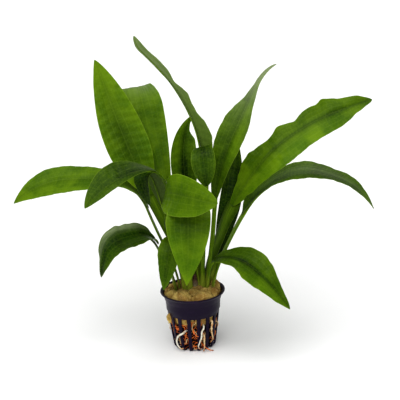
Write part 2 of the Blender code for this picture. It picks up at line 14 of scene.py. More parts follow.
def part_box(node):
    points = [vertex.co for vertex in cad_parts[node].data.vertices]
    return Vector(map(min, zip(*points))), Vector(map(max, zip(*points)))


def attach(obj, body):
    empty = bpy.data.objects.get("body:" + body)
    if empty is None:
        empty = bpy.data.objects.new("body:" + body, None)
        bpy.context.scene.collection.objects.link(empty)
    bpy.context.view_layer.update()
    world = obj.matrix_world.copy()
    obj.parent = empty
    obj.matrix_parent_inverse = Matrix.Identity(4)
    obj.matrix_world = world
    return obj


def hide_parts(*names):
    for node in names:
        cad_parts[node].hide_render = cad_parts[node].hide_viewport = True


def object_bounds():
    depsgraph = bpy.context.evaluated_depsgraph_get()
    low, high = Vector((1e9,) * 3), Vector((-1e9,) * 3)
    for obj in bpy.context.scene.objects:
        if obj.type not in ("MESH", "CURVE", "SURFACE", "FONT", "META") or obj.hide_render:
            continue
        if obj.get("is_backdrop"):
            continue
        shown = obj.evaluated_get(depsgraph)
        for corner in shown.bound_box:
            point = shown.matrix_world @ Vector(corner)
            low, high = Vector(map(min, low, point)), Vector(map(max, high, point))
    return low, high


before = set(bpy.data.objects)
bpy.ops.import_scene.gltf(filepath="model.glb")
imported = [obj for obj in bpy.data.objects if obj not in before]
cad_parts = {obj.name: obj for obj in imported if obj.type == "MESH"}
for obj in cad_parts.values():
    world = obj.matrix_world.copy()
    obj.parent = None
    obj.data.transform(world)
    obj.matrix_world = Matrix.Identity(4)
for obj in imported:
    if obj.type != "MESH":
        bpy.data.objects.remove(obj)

cad_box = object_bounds()
MM = 0.001
print("CAD box", [[round(value, 4) for value in corner] for corner in cad_box])

# %% [markdown]
# ## The studio
# A plant with glossy leaves shows its form by a broad, soft light overhead, which
# lays a grey sheen on every surface that faces up and leaves the heart of the
# plant dark. A hard lamp would make small bright spots instead. The floor is pale
# and so wide that it fills the view.
# %% Floor
bpy.ops.mesh.primitive_plane_add(size=12.0, location=(0.0, 2.0, 0.0))
floor = bpy.context.active_object
floor.name = "studio_floor"
floor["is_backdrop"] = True


def new_material(name):
    """A material with its node tree, and the shader in it."""
    material = bpy.data.materials.new(name)
    material.use_nodes = True
    return material, material.node_tree, material.node_tree.nodes["Principled BSDF"]


paper, _, paper_shader = new_material("studio_paper")
paper_shader.inputs["Base Color"].default_value = (0.92, 0.92, 0.92, 1.0)
paper_shader.inputs["Roughness"].default_value = 0.9
paper_shader.inputs["Specular IOR Level"].default_value = 0.1
floor.data.materials.append(paper)

# %% [markdown]
# A lamp near the plant would leave the far floor grey. A sun lamp has no distance:
# it lights the whole floor alike, and a wide disc makes it as soft as a softbox. The
# broad one overhead does most of the work, a weaker one fills the front, and the
# world adds what a pale room gives back.
# %% Lights


def add_soft_sun(name, tilt, heading, disc, strength):
    """A sun lamp with a wide disc, tilted from overhead towards a heading."""
    bpy.ops.object.light_add(type="SUN", location=(0.0, 0.0, 1.0))
    lamp = bpy.context.active_object
    lamp.name = name
    lamp.data.angle = math.radians(disc)
    lamp.data.energy = strength
    lamp.rotation_euler = (math.radians(tilt), 0.0, math.radians(heading + 90))


add_soft_sun("sun_overhead", 22, 250, 60, 1.9)
add_soft_sun("sun_front", 62, 262, 50, 0.55)
world = bpy.data.worlds.new("studio_air")
world.use_nodes = True
air = world.node_tree.nodes["Background"].inputs
air["Color"].default_value = (1.0, 1.0, 1.0, 1.0)
air["Strength"].default_value = 0.42
bpy.context.scene.world = world
view = bpy.context.scene.view_settings
view.view_transform = "Standard"
view.look = "Medium High Contrast"

# %% [markdown]
# A long lens from about a metre away keeps the leaves' proportions. The camera
# looks down a little and is tipped slightly to one side.
# %% Camera
CAMERA_PLACE = (0.0094, -0.930, 0.420)
LOOK_DOWN = math.radians(17.56)
CAMERA_ROLL = math.radians(-2.5)
bpy.ops.object.camera_add(location=CAMERA_PLACE)
camera = bpy.context.active_object
turn = Matrix.Rotation(math.pi / 2 - LOOK_DOWN, 3, "X") @ Matrix.Rotation(CAMERA_ROLL, 3, "Z")
camera.rotation_euler = turn.to_euler()
camera.data.lens = 108.6
camera.data.sensor_width = 36.0
camera.data.clip_end = 50.0
bpy.context.scene.camera = camera

# %% [markdown]
# ## Helpers for every piece
# An operator works on whatever is selected, so each piece starts with nothing
# selected. A finished piece rides on the plant's one body, stands for its solid
# and gets its finish.
# %% Start and finish a piece


def edit_mode(kind, action):
    """Edit the active piece, with all or none of it selected as one kind."""
    bpy.ops.object.mode_set(mode="EDIT")
    bpy.ops.mesh.select_mode(type=kind)
    bpy.ops.mesh.select_all(action=action)


def object_mode():
    """Stop editing."""
    bpy.ops.object.mode_set(mode="OBJECT")


def select_only(*pieces):
    """Select just these pieces, or nothing. The last becomes the active one."""
    bpy.ops.object.select_all(action="DESELECT")
    for piece in pieces:
        piece.select_set(True)
        bpy.context.view_layer.objects.active = piece


def finish_piece(piece, name, material, nodes=()):
    """Name a piece, give it its finish and let it stand for its solids."""
    piece.name = name
    piece.data.name = name
    piece.data.materials.clear()
    piece.data.materials.append(material)
    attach(piece, "root")
    if nodes:
        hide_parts(*nodes)
    print(name, len(piece.data.polygons), "faces")


def apply_modifiers(piece):
    """Apply every modifier of a piece, in order."""
    select_only(piece)
    for modifier in list(piece.modifiers):
        bpy.ops.object.modifier_apply(modifier=modifier.name)


def write_points(mesh, points):
    """Move every vertex of a mesh to the given points, in metres."""
    mesh.vertices.foreach_set("co", np.asarray(points, np.float32).ravel())
    mesh.update()


def read_points(mesh):
    """The places of a mesh's vertices, as rows of three numbers."""
    points = np.zeros(len(mesh.vertices) * 3, np.float32)
    mesh.vertices.foreach_get("co", points)
    return points.reshape(-1, 3).astype(float)


def paint(mesh, name, values):
    """Store four numbers a vertex, for the materials to read."""
    layer = mesh.attributes.new(name, "FLOAT_COLOR", "POINT")
    layer.data.foreach_set("color", np.asarray(values, np.float32).ravel())


def sphere_place(point):
    """Share of the way up a unit sphere, and the angle round it."""
    share = math.acos(max(-1.0, min(1.0, -point[2]))) / math.pi
    return share, math.atan2(point[1], point[0])


# %% [markdown]
# Materials are built from nodes. These short helpers keep each recipe readable:
# one adds a node and links its inputs, and the rest name the nodes used most.
# %% Helpers for materials


class Recipe:
    """A material's nodes, added one call at a time."""

    def __init__(self, name):
        self.material, self.tree, self.shader = new_material(name)
        self.place = self.node("ShaderNodeTexCoord").outputs["Object"]

    def node(self, kind, inputs=None, **settings):
        """Add a node, set its settings and link or set its inputs."""
        node = self.tree.nodes.new(kind)
        for key, value in settings.items():
            setattr(node, key, value)
        for key, value in (inputs or {}).items():
            self.put(node.inputs[key], value)
        return node

    def put(self, socket, value):
        """Link a socket to another node's output, or set it."""
        if isinstance(value, bpy.types.NodeSocket):
            self.tree.links.new(value, socket)
        elif socket.type == "RGBA":
            socket.default_value = (*value, 1.0)
        else:
            socket.default_value = value

    def math(self, operation, first, second=0.0):
        """One step of arithmetic."""
        node = self.node("ShaderNodeMath", {0: first, 1: second}, operation=operation)
        return node.outputs[0]

    def times(self, first, second):
        """A product of two numbers."""
        return self.math("MULTIPLY", first, second)

    def stretch(self, vector, factors):
        """A vector with each of its parts multiplied."""
        node = self.node("ShaderNodeVectorMath", {0: vector, 1: factors},
                         operation="MULTIPLY")
        return node.outputs[0]

    def mix(self, share, first, second):
        """A colour between two others."""
        node = self.node("ShaderNodeMix", data_type="RGBA")
        self.put(node.inputs[0], share)
        self.put(node.inputs[6], first)
        self.put(node.inputs[7], second)
        return node.outputs[2]

    def span(self, value, low, high, out_low=0.0, out_high=1.0):
        """A value's place between two limits, eased and clamped."""
        node = self.node("ShaderNodeMapRange", {0: value, 1: low, 2: high, 3: out_low,
                                                4: out_high}, interpolation_type="SMOOTHSTEP")
        return node.outputs[0]

    def noise(self, scale, detail=4.0, distortion=0.0, vector=None):
        """Smooth noise on a vector, or else on the place in the object, in metres."""
        inputs = {"Vector": vector or self.place, "Scale": scale, "Detail": detail,
                  "Distortion": distortion}
        return self.node("ShaderNodeTexNoise", inputs).outputs[0]

    def painted(self, name):
        """The four numbers painted on the mesh."""
        node = self.node("ShaderNodeAttribute", attribute_name=name)
        parts = self.node("ShaderNodeSeparateColor", {0: node.outputs["Color"]})
        return [*parts.outputs, node.outputs["Alpha"]]

    def bump(self, height, strength, distance, under=None):
        """Small relief from a height."""
        inputs = {"Height": height, "Strength": strength, "Distance": distance}
        if under is not None:
            inputs["Normal"] = under
        return self.node("ShaderNodeBump", inputs).outputs[0]

    def finish(self, colour, roughness, normal, **constants):
        """Link the recipe to its shader."""
        self.put(self.shader.inputs["Base Color"], colour)
        self.put(self.shader.inputs["Roughness"], roughness)
        self.put(self.shader.inputs["Normal"], normal)
        for key, value in constants.items():
            self.shader.inputs[key.replace("_", " ")].default_value = value
        return self.material


# %% [markdown]
# ## The net pot
# The real pot is one moulding of black plastic with a lip, a step under it and
# slots that run round the bottom edge. It could be turned as a solid and cut with
# sixteen boxes. Here a flat disc's edge is drawn out row by row into the wall,
# which leaves clean columns of faces, so a slot is only faces left out.
# %% Draw out the wall
SLOTS = 16
COLUMNS_PER_SLOT = 8        # of which five are open and three are the rib
OPEN_COLUMNS = 5
WALL_THICKNESS = 1.1 * MM
_, pot_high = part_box("net_pot")
RIM_RADIUS = pot_high.x
POT_HEIGHT = pot_high.z
# Shares of the rim's radius and of the pot's height, from the disc to the rim
POT_ROWS = [(0.426, 0.0), (0.585, 0.0), (0.637, 0.016), (0.656, 0.035), (0.663, 0.056),
            (0.715, 0.246), (0.757, 0.43), (0.8, 0.616), (0.811, 0.664), (0.834, 0.686),
            (0.838, 0.75), (0.852, 0.832), (0.86, 0.845), (0.873, 0.862), (0.905, 0.925),
            (0.937, 0.961), (0.962, 0.972), (0.992, 0.976), (1.0, 0.986), (0.994, 1.0)]
SLOT_TOP = 0.61             # a share of the pot's height
columns = SLOTS * COLUMNS_PER_SLOT
half_column = math.pi / columns

select_only()
bpy.ops.mesh.primitive_circle_add(vertices=columns, radius=POT_ROWS[0][0] * RIM_RADIUS,
                                  fill_type="NGON", rotation=(0.0, 0.0, half_column))
pot = bpy.context.active_object
bpy.ops.object.transform_apply(location=False, rotation=True, scale=False)
edit_mode("EDGE", "SELECT")
bpy.ops.mesh.region_to_loop()
for (radius, height), (next_radius, next_height) in zip(POT_ROWS, POT_ROWS[1:]):
    rise = (0.0, 0.0, (next_height - height) * POT_HEIGHT)
    growth = next_radius / radius
    bpy.ops.mesh.extrude_edges_move(TRANSFORM_OT_translate={"value": rise})
    bpy.ops.transform.resize(value=(growth, growth, 1.0), center_override=(0.0, 0.0, 0.0))
object_mode()
print("pot wall", len(pot.data.polygons), "faces in", columns, "columns")

# %% [markdown]
# The open columns are counted from the front, where a slot's middle is.
# %% Leave out the slots, then give the wall its thickness
edit_mode("FACE", "DESELECT")
object_mode()
for face in pot.data.polygons:
    middle = face.center
    if middle.xy.length < POT_ROWS[0][0] * RIM_RADIUS:
        continue
    turned = (math.atan2(middle.y, middle.x) + math.pi / 2) / (2 * math.pi) * SLOTS
    away = abs(turned - round(turned)) * COLUMNS_PER_SLOT
    in_band = middle.z < SLOT_TOP * POT_HEIGHT
    face.select = in_band and away < OPEN_COLUMNS / 2
bpy.ops.object.mode_set(mode="EDIT")
bpy.ops.mesh.delete(type="FACE")
bpy.ops.mesh.select_all(action="SELECT")
bpy.ops.mesh.normals_make_consistent(inside=False)
object_mode()
wall_face = max(pot.data.polygons, key=lambda face: face.center.z)
if wall_face.normal.dot(wall_face.center.normalized()) < 0:
    edit_mode("FACE", "SELECT")
    bpy.ops.mesh.flip_normals()
    object_mode()
wall = pot.modifiers.new("wall", "SOLIDIFY")
wall.thickness = WALL_THICKNESS
wall.offset = -1.0
edges = pot.modifiers.new("soft_edges", "BEVEL")
edges.width = 0.22 * MM
edges.segments = 2
edges.limit_method = "ANGLE"
edges.angle_limit = math.radians(38)
apply_modifiers(pot)
bpy.ops.object.shade_smooth_by_angle(angle=math.radians(32))

# %% [markdown]
# The plastic is black with a breath of violet. Its gloss is broken by handling
# marks and by a thin film of dried water, which a single roughness can't show.
# %% Pot plastic


def make_pot_plastic():
    """Black moulded plastic with dull marks and fine relief."""
    recipe = Recipe("pot_plastic_visual")
    film = recipe.span(recipe.noise(90.0, 6.0, 0.6), 0.5, 0.75)
    grain = recipe.noise(2600.0, 3.0)
    sweep = recipe.noise(28.0, 2.0)
    colour = recipe.mix(recipe.times(film, 0.5), (0.008, 0.0026, 0.0175),
                        (0.027, 0.014, 0.045))
    roughness = recipe.math("ADD", recipe.times(film, 0.2),
                            recipe.span(sweep, 0.3, 0.7, 0.3, 0.42))
    normal = recipe.bump(grain, 0.25, 0.0001)
    return recipe.finish(colour, roughness, normal, Specular_IOR_Level=0.16)


finish_piece(pot, "net_pot_moulding", make_pot_plastic(), ["net_pot"])

# %% [markdown]
# ## The rock wool
# Rock wool is spun mineral fibre, torn by hand into a plug. It is khaki and puffs
# out in soft lumps with dark crevices between them. A sphere is drawn into the
# plug. Each puff is a dome over its own place, and the highest dome wins, so that a
# crevice forms by itself wherever two puffs meet.
# %% Shape of the plug
WOOL_LEVEL = 48.2           # height of the wool between its lumps, in mm
WOOL_TOP = (45.5, 48.2)     # over this span the wall's fluff gives way to puffs
# The wool's foot is painted near black as shade, up to this span
WOOL_SHADE_SPAN = (21.0, 25.0)    # over this span the dark foot gives way to khaki
WOOL_ROWS = [(0.0, 1.6), (13.4, 1.8), (14.6, 6.0), (16.0, 18.0), (17.4, 22.5),
             (19.0, 26.0), (19.9, 31.0), (21.2, 40.0), (22.3, 44.5), (23.4, 46.4),
             (23.2, 47.6), (20.0, WOOL_LEVEL), (0.0, WOOL_LEVEL)]   # (radius, height)
# (x, y, height, spread) of the lumps that the leaves' feet stand on
WOOL_LUMPS = [(-8.0, -14.5, 5.0, 5.0), (10.0, -14.5, 4.2, 5.5), (-20.0, -2.0, 1.8, 4.5),
              (19.5, 9.0, 5.5, 4.6), (-16.5, 15.0, 1.5, 4.0), (3.0, 20.5, 2.4, 4.5)]
PUFFS = [       # (x, y, radius, top over the wool's level)
    (-8.5, -14.5, 9.5, 4.8), (8.5, -15.0, 9.0, 4.0), (17.5, -5.5, 7.5, 3.4),
    (-17.5, -7.0, 6.5, 2.6), (-20.5, 3.0, 5.5, 2.2), (20.0, 8.5, 6.5, 6.0),
    (12.0, 18.0, 8.0, 2.8), (2.0, 20.5, 7.0, 2.4), (-9.0, 18.0, 8.0, 1.8),
    (-17.0, 12.5, 6.0, 1.6), (0.5, -6.0, 6.5, 2.2), (9.5, -4.0, 5.0, 2.6),
    (-9.0, -2.0, 6.5, 0.8), (15.0, 2.5, 5.0, 1.8), (3.0, 5.0, 6.0, 2.4),
    (-6.0, 8.5, 7.0, 0.9), (8.0, 11.0, 6.0, 1.2),
]
CREVICE_DEPTH = 3.4         # under the wool's level


def wool_height(x, y):
    """Height of the solid wool's top at a place, in mm."""
    height = WOOL_LEVEL
    for lump_x, lump_y, rise, spread in WOOL_LUMPS:
        away = (x - lump_x) ** 2 + (y - lump_y) ** 2
        height += rise * math.exp(-away / (2 * spread * spread))
    return height


def puff_height(x, y):
    """Puffs' height over the level at a place, and how far it is out of a crevice."""
    spot = Vector((x, y, 0.0))
    x += 2.2 * noise.noise(spot * 0.16) + 0.7 * noise.noise(spot * 0.55)
    y += 2.2 * noise.noise(spot * 0.16 + Vector((7, 3, 1)))
    y += 0.7 * noise.noise(spot * 0.55 + Vector((2, 9, 4)))
    domes = []
    for puff_x, puff_y, radius, top in PUFFS:
        away = ((x - puff_x) ** 2 + (y - puff_y) ** 2) / radius ** 2
        domes.append((top + CREVICE_DEPTH) * math.sqrt(max(0.0, 1 - away)))
    domes.sort()
    height = domes[-1] - CREVICE_DEPTH
    crevice = min(1.0, (domes[-1] - domes[-2]) / 1.4) * min(1.0, domes[-1] / 1.5)
    return height, crevice


def share_between(value, low, high):
    """A value's place between two limits, from 0 to 1."""
    return min(max((value - low) / (high - low), 0.0), 1.0)


select_only()
bpy.ops.mesh.primitive_uv_sphere_add(segments=256, ring_count=220, radius=1.0)
wool = bpy.context.active_object
profile = np.array(WOOL_ROWS)
spans = np.hypot(*np.diff(profile, axis=0).T)
travelled = np.concatenate([[0.0], np.cumsum(spans)])
shaped = []
depths = []
for point in read_points(wool.data):
    share, turned = sphere_place(point)
    radius, height = (float(np.interp(share * travelled[-1], travelled, profile[:, axis]))
                      for axis in (0, 1))
    x, y = radius * math.cos(turned), radius * math.sin(turned)
    on_top = share_between(height, *WOOL_TOP)
    puff, crevice = puff_height(x, y)
    fluff = noise.fractal(Vector((x, y, height)) * 0.55, 0.9, 2.1, 5)
    outward = 1.0 + 0.02 * fluff * (1.0 - on_top)
    rise = on_top * (puff + 0.45 * fluff)
    shaped.append((x * outward * MM, y * outward * MM, (height + rise) * MM))
    # The crevice share and the height share become painted shade in the wool's material
    depths.append((crevice, on_top, share_between(height, *WOOL_SHADE_SPAN), 1.0))
write_points(wool.data, shaped)
paint(wool.data, "wool_map", depths)
bpy.ops.object.shade_smooth()

# %% [markdown]
# In a crevice between two puffs the wool is painted dark brown as shade. Low in the pot,
# where roots hide it, it is painted near black, for those dark roots and as the shade
# inside the wall.
# %% Wool


def make_wool_material():
    """Khaki mineral wool, painted dark brown in its crevices as shade, and near black low down for
    shade and the roots there.
    """
    recipe = Recipe("rock_wool_visual")
    crevice, _, above_shade, _ = recipe.painted("wool_map")
    patches = recipe.noise(110.0, 4.0, 0.4)
    khaki = recipe.mix(recipe.span(patches, 0.36, 0.66), (0.27, 0.15, 0.035),
                       (0.60, 0.43, 0.13))
    streaks = recipe.noise(700.0, 4.0, 2.0)
    khaki = recipe.mix(recipe.span(streaks, 0.45, 0.75, 0.0, 0.45), khaki, (0.80, 0.66, 0.30))
    # Painted shade: dark brown in the crevices, and near black low in the pot
    brown = recipe.mix(recipe.span(crevice, 0.0, 0.7), (0.075, 0.032, 0.010), khaki)
    colour = recipe.mix(recipe.span(above_shade, 0.0, 1.0), (0.010, 0.005, 0.004), brown)
    relief = recipe.math("ADD", streaks, recipe.noise(2400.0, 2.0))
    return recipe.finish(colour, 0.95, recipe.bump(relief, 0.5, 0.0003),
                         Specular_IOR_Level=0.1)


wool_skin = make_wool_material()
finish_piece(wool, "rock_wool_plug", wool_skin, ["rock_wool"])

# %% [markdown]
# Loose fibres stand out of the clumps and blur their outline. They are many and
# thin, so each is a curve with five points and the least round section, and all
# of them are turned into one mesh.
# %% Tubes along routes


def make_tubes(name, routes, sides=0):
    """One mesh of closed tubes, each along its own points with its own radii."""
    curve = bpy.data.curves.new(name, "CURVE")
    curve.dimensions = "3D"
    curve.bevel_depth = 1.0
    curve.bevel_resolution = sides
    curve.use_fill_caps = True
    for points, radii in routes:
        spline = curve.splines.new("POLY")
        spline.points.add(len(points) - 1)
        flat = np.column_stack([np.array(points), np.ones(len(points))])
        spline.points.foreach_set("co", flat.ravel())
        spline.points.foreach_set("radius", np.array(radii))
    holder = bpy.data.objects.new(name, curve)
    bpy.context.scene.collection.objects.link(holder)
    select_only(holder)
    bpy.ops.object.convert(target="MESH")
    tubes = bpy.context.active_object
    edit_mode("FACE", "SELECT")
    bpy.ops.mesh.remove_doubles(threshold=0.000001)
    bpy.ops.mesh.normals_make_consistent(inside=False)
    object_mode()
    bpy.ops.object.shade_smooth()
    return tubes


# %% Loose fibres
FIBRES = 1500
FIBRE_STEPS = 4
FIBRE_RADIUS = 0.04 * MM
FIBRE_ROOT = Vector((0.0, 0.0, 0.2 * MM))   # how far a fibre starts under the skin
FIBRE_REACH = 24.3 * MM     # no fibre stands farther out than this
FIBRE_RISE = 1.2            # nor higher over the puffs than this, in mm
chance = Random(11)
wool_points = np.array(shaped)
top_points = [index for index, row in enumerate(depths) if row[1] > 0.5]


def scatter(side, up, up_spread):
    """A random vector, with its own spread to the side and upwards."""
    return Vector((chance.gauss(0, side), chance.gauss(0, side), chance.gauss(up, up_spread)))


fibre_routes = []
for fibre in range(FIBRES):
    start = Vector(wool_points[chance.choice(top_points)])
    way = scatter(1, 0.25, 0.35).normalized()
    reach = chance.uniform(0.35, 0.8) * MM
    route = [start - FIBRE_ROOT]
    for step in range(FIBRE_STEPS):
        way = (way + scatter(0.45, -0.12, 0.3)).normalized()
        tip = route[-1] + way * reach
        puff = puff_height(tip.x / MM, tip.y / MM)[0]
        tip.z = min(tip.z, (WOOL_LEVEL + puff + FIBRE_RISE) * MM)
        tip.xy *= min(1.0, FIBRE_REACH / max(tip.xy.length, 1e-6))
        route.append(tip)
    fibre_routes.append((route, [FIBRE_RADIUS] * len(route)))
fibres = make_tubes("rock_wool_fibres", fibre_routes)


def make_fibre_material():
    """Straw-coloured fibres."""
    recipe = Recipe("rock_wool_fibre")
    tint = recipe.noise(420.0, 2.0)
    colour = recipe.mix(recipe.span(tint, 0.35, 0.65), (0.30, 0.20, 0.05), (0.62, 0.5, 0.18))
    return recipe.finish(colour, 0.8, recipe.bump(tint, 0.1, 0.0001))


finish_piece(fibres, "rock_wool_fibres", make_fibre_material())

# %% [markdown]
# ## The leaves
# A sword's leaf is a broad blade on a long stalk, and the stalk goes on under the
# blade as its midrib. Each leaf could be sculpted by hand, but seventeen of them
# would drift apart in style. So a flat blade and a straight stalk are modelled
# once, and each leaf is a copy that is carried along its own route and shaped by
# the values in its entry.
#
# The route is given as a botanist would sketch it: where the leaf is rooted, how
# long it is, and at some shares of its length how far it leans from upright and
# which way it heads, in degrees. A heading of 0 is to the right, 90 to the back,
# 180 to the left and 270 to the front; a lean over 90 droops.
#
# The rest of an entry tells the blade's shape and tone. A pair of numbers is for
# the blade's left and right halves.
#
# - side: which way the blade's right half points, from its base to its tip
# - half_width: width of each half at its widest, at the share given by widest
# - ends: how blunt the base and the tip are; over 1 an end is drawn out
# - edge: factors on a half's width at shares of the blade, where it is uneven
# - fold, wave, waves, phase, quilt, dent: the blade's relief, in degrees and mm
# - stalk, wing: a stalk's own size, and the green wing on its upper part
# - tone, stem: from dark green at 0 to light green at 1, for blade and stalk
# - two lists of spots (across, along, wide, long, amount): spots of tone, whose dark ones and some
#   light ones are painted shade and light, and spots of painted sheen
# %% The leaves' entries, in millimetres and degrees
STALK = (1.7, 2.4)          # half width and thickness of a stalk
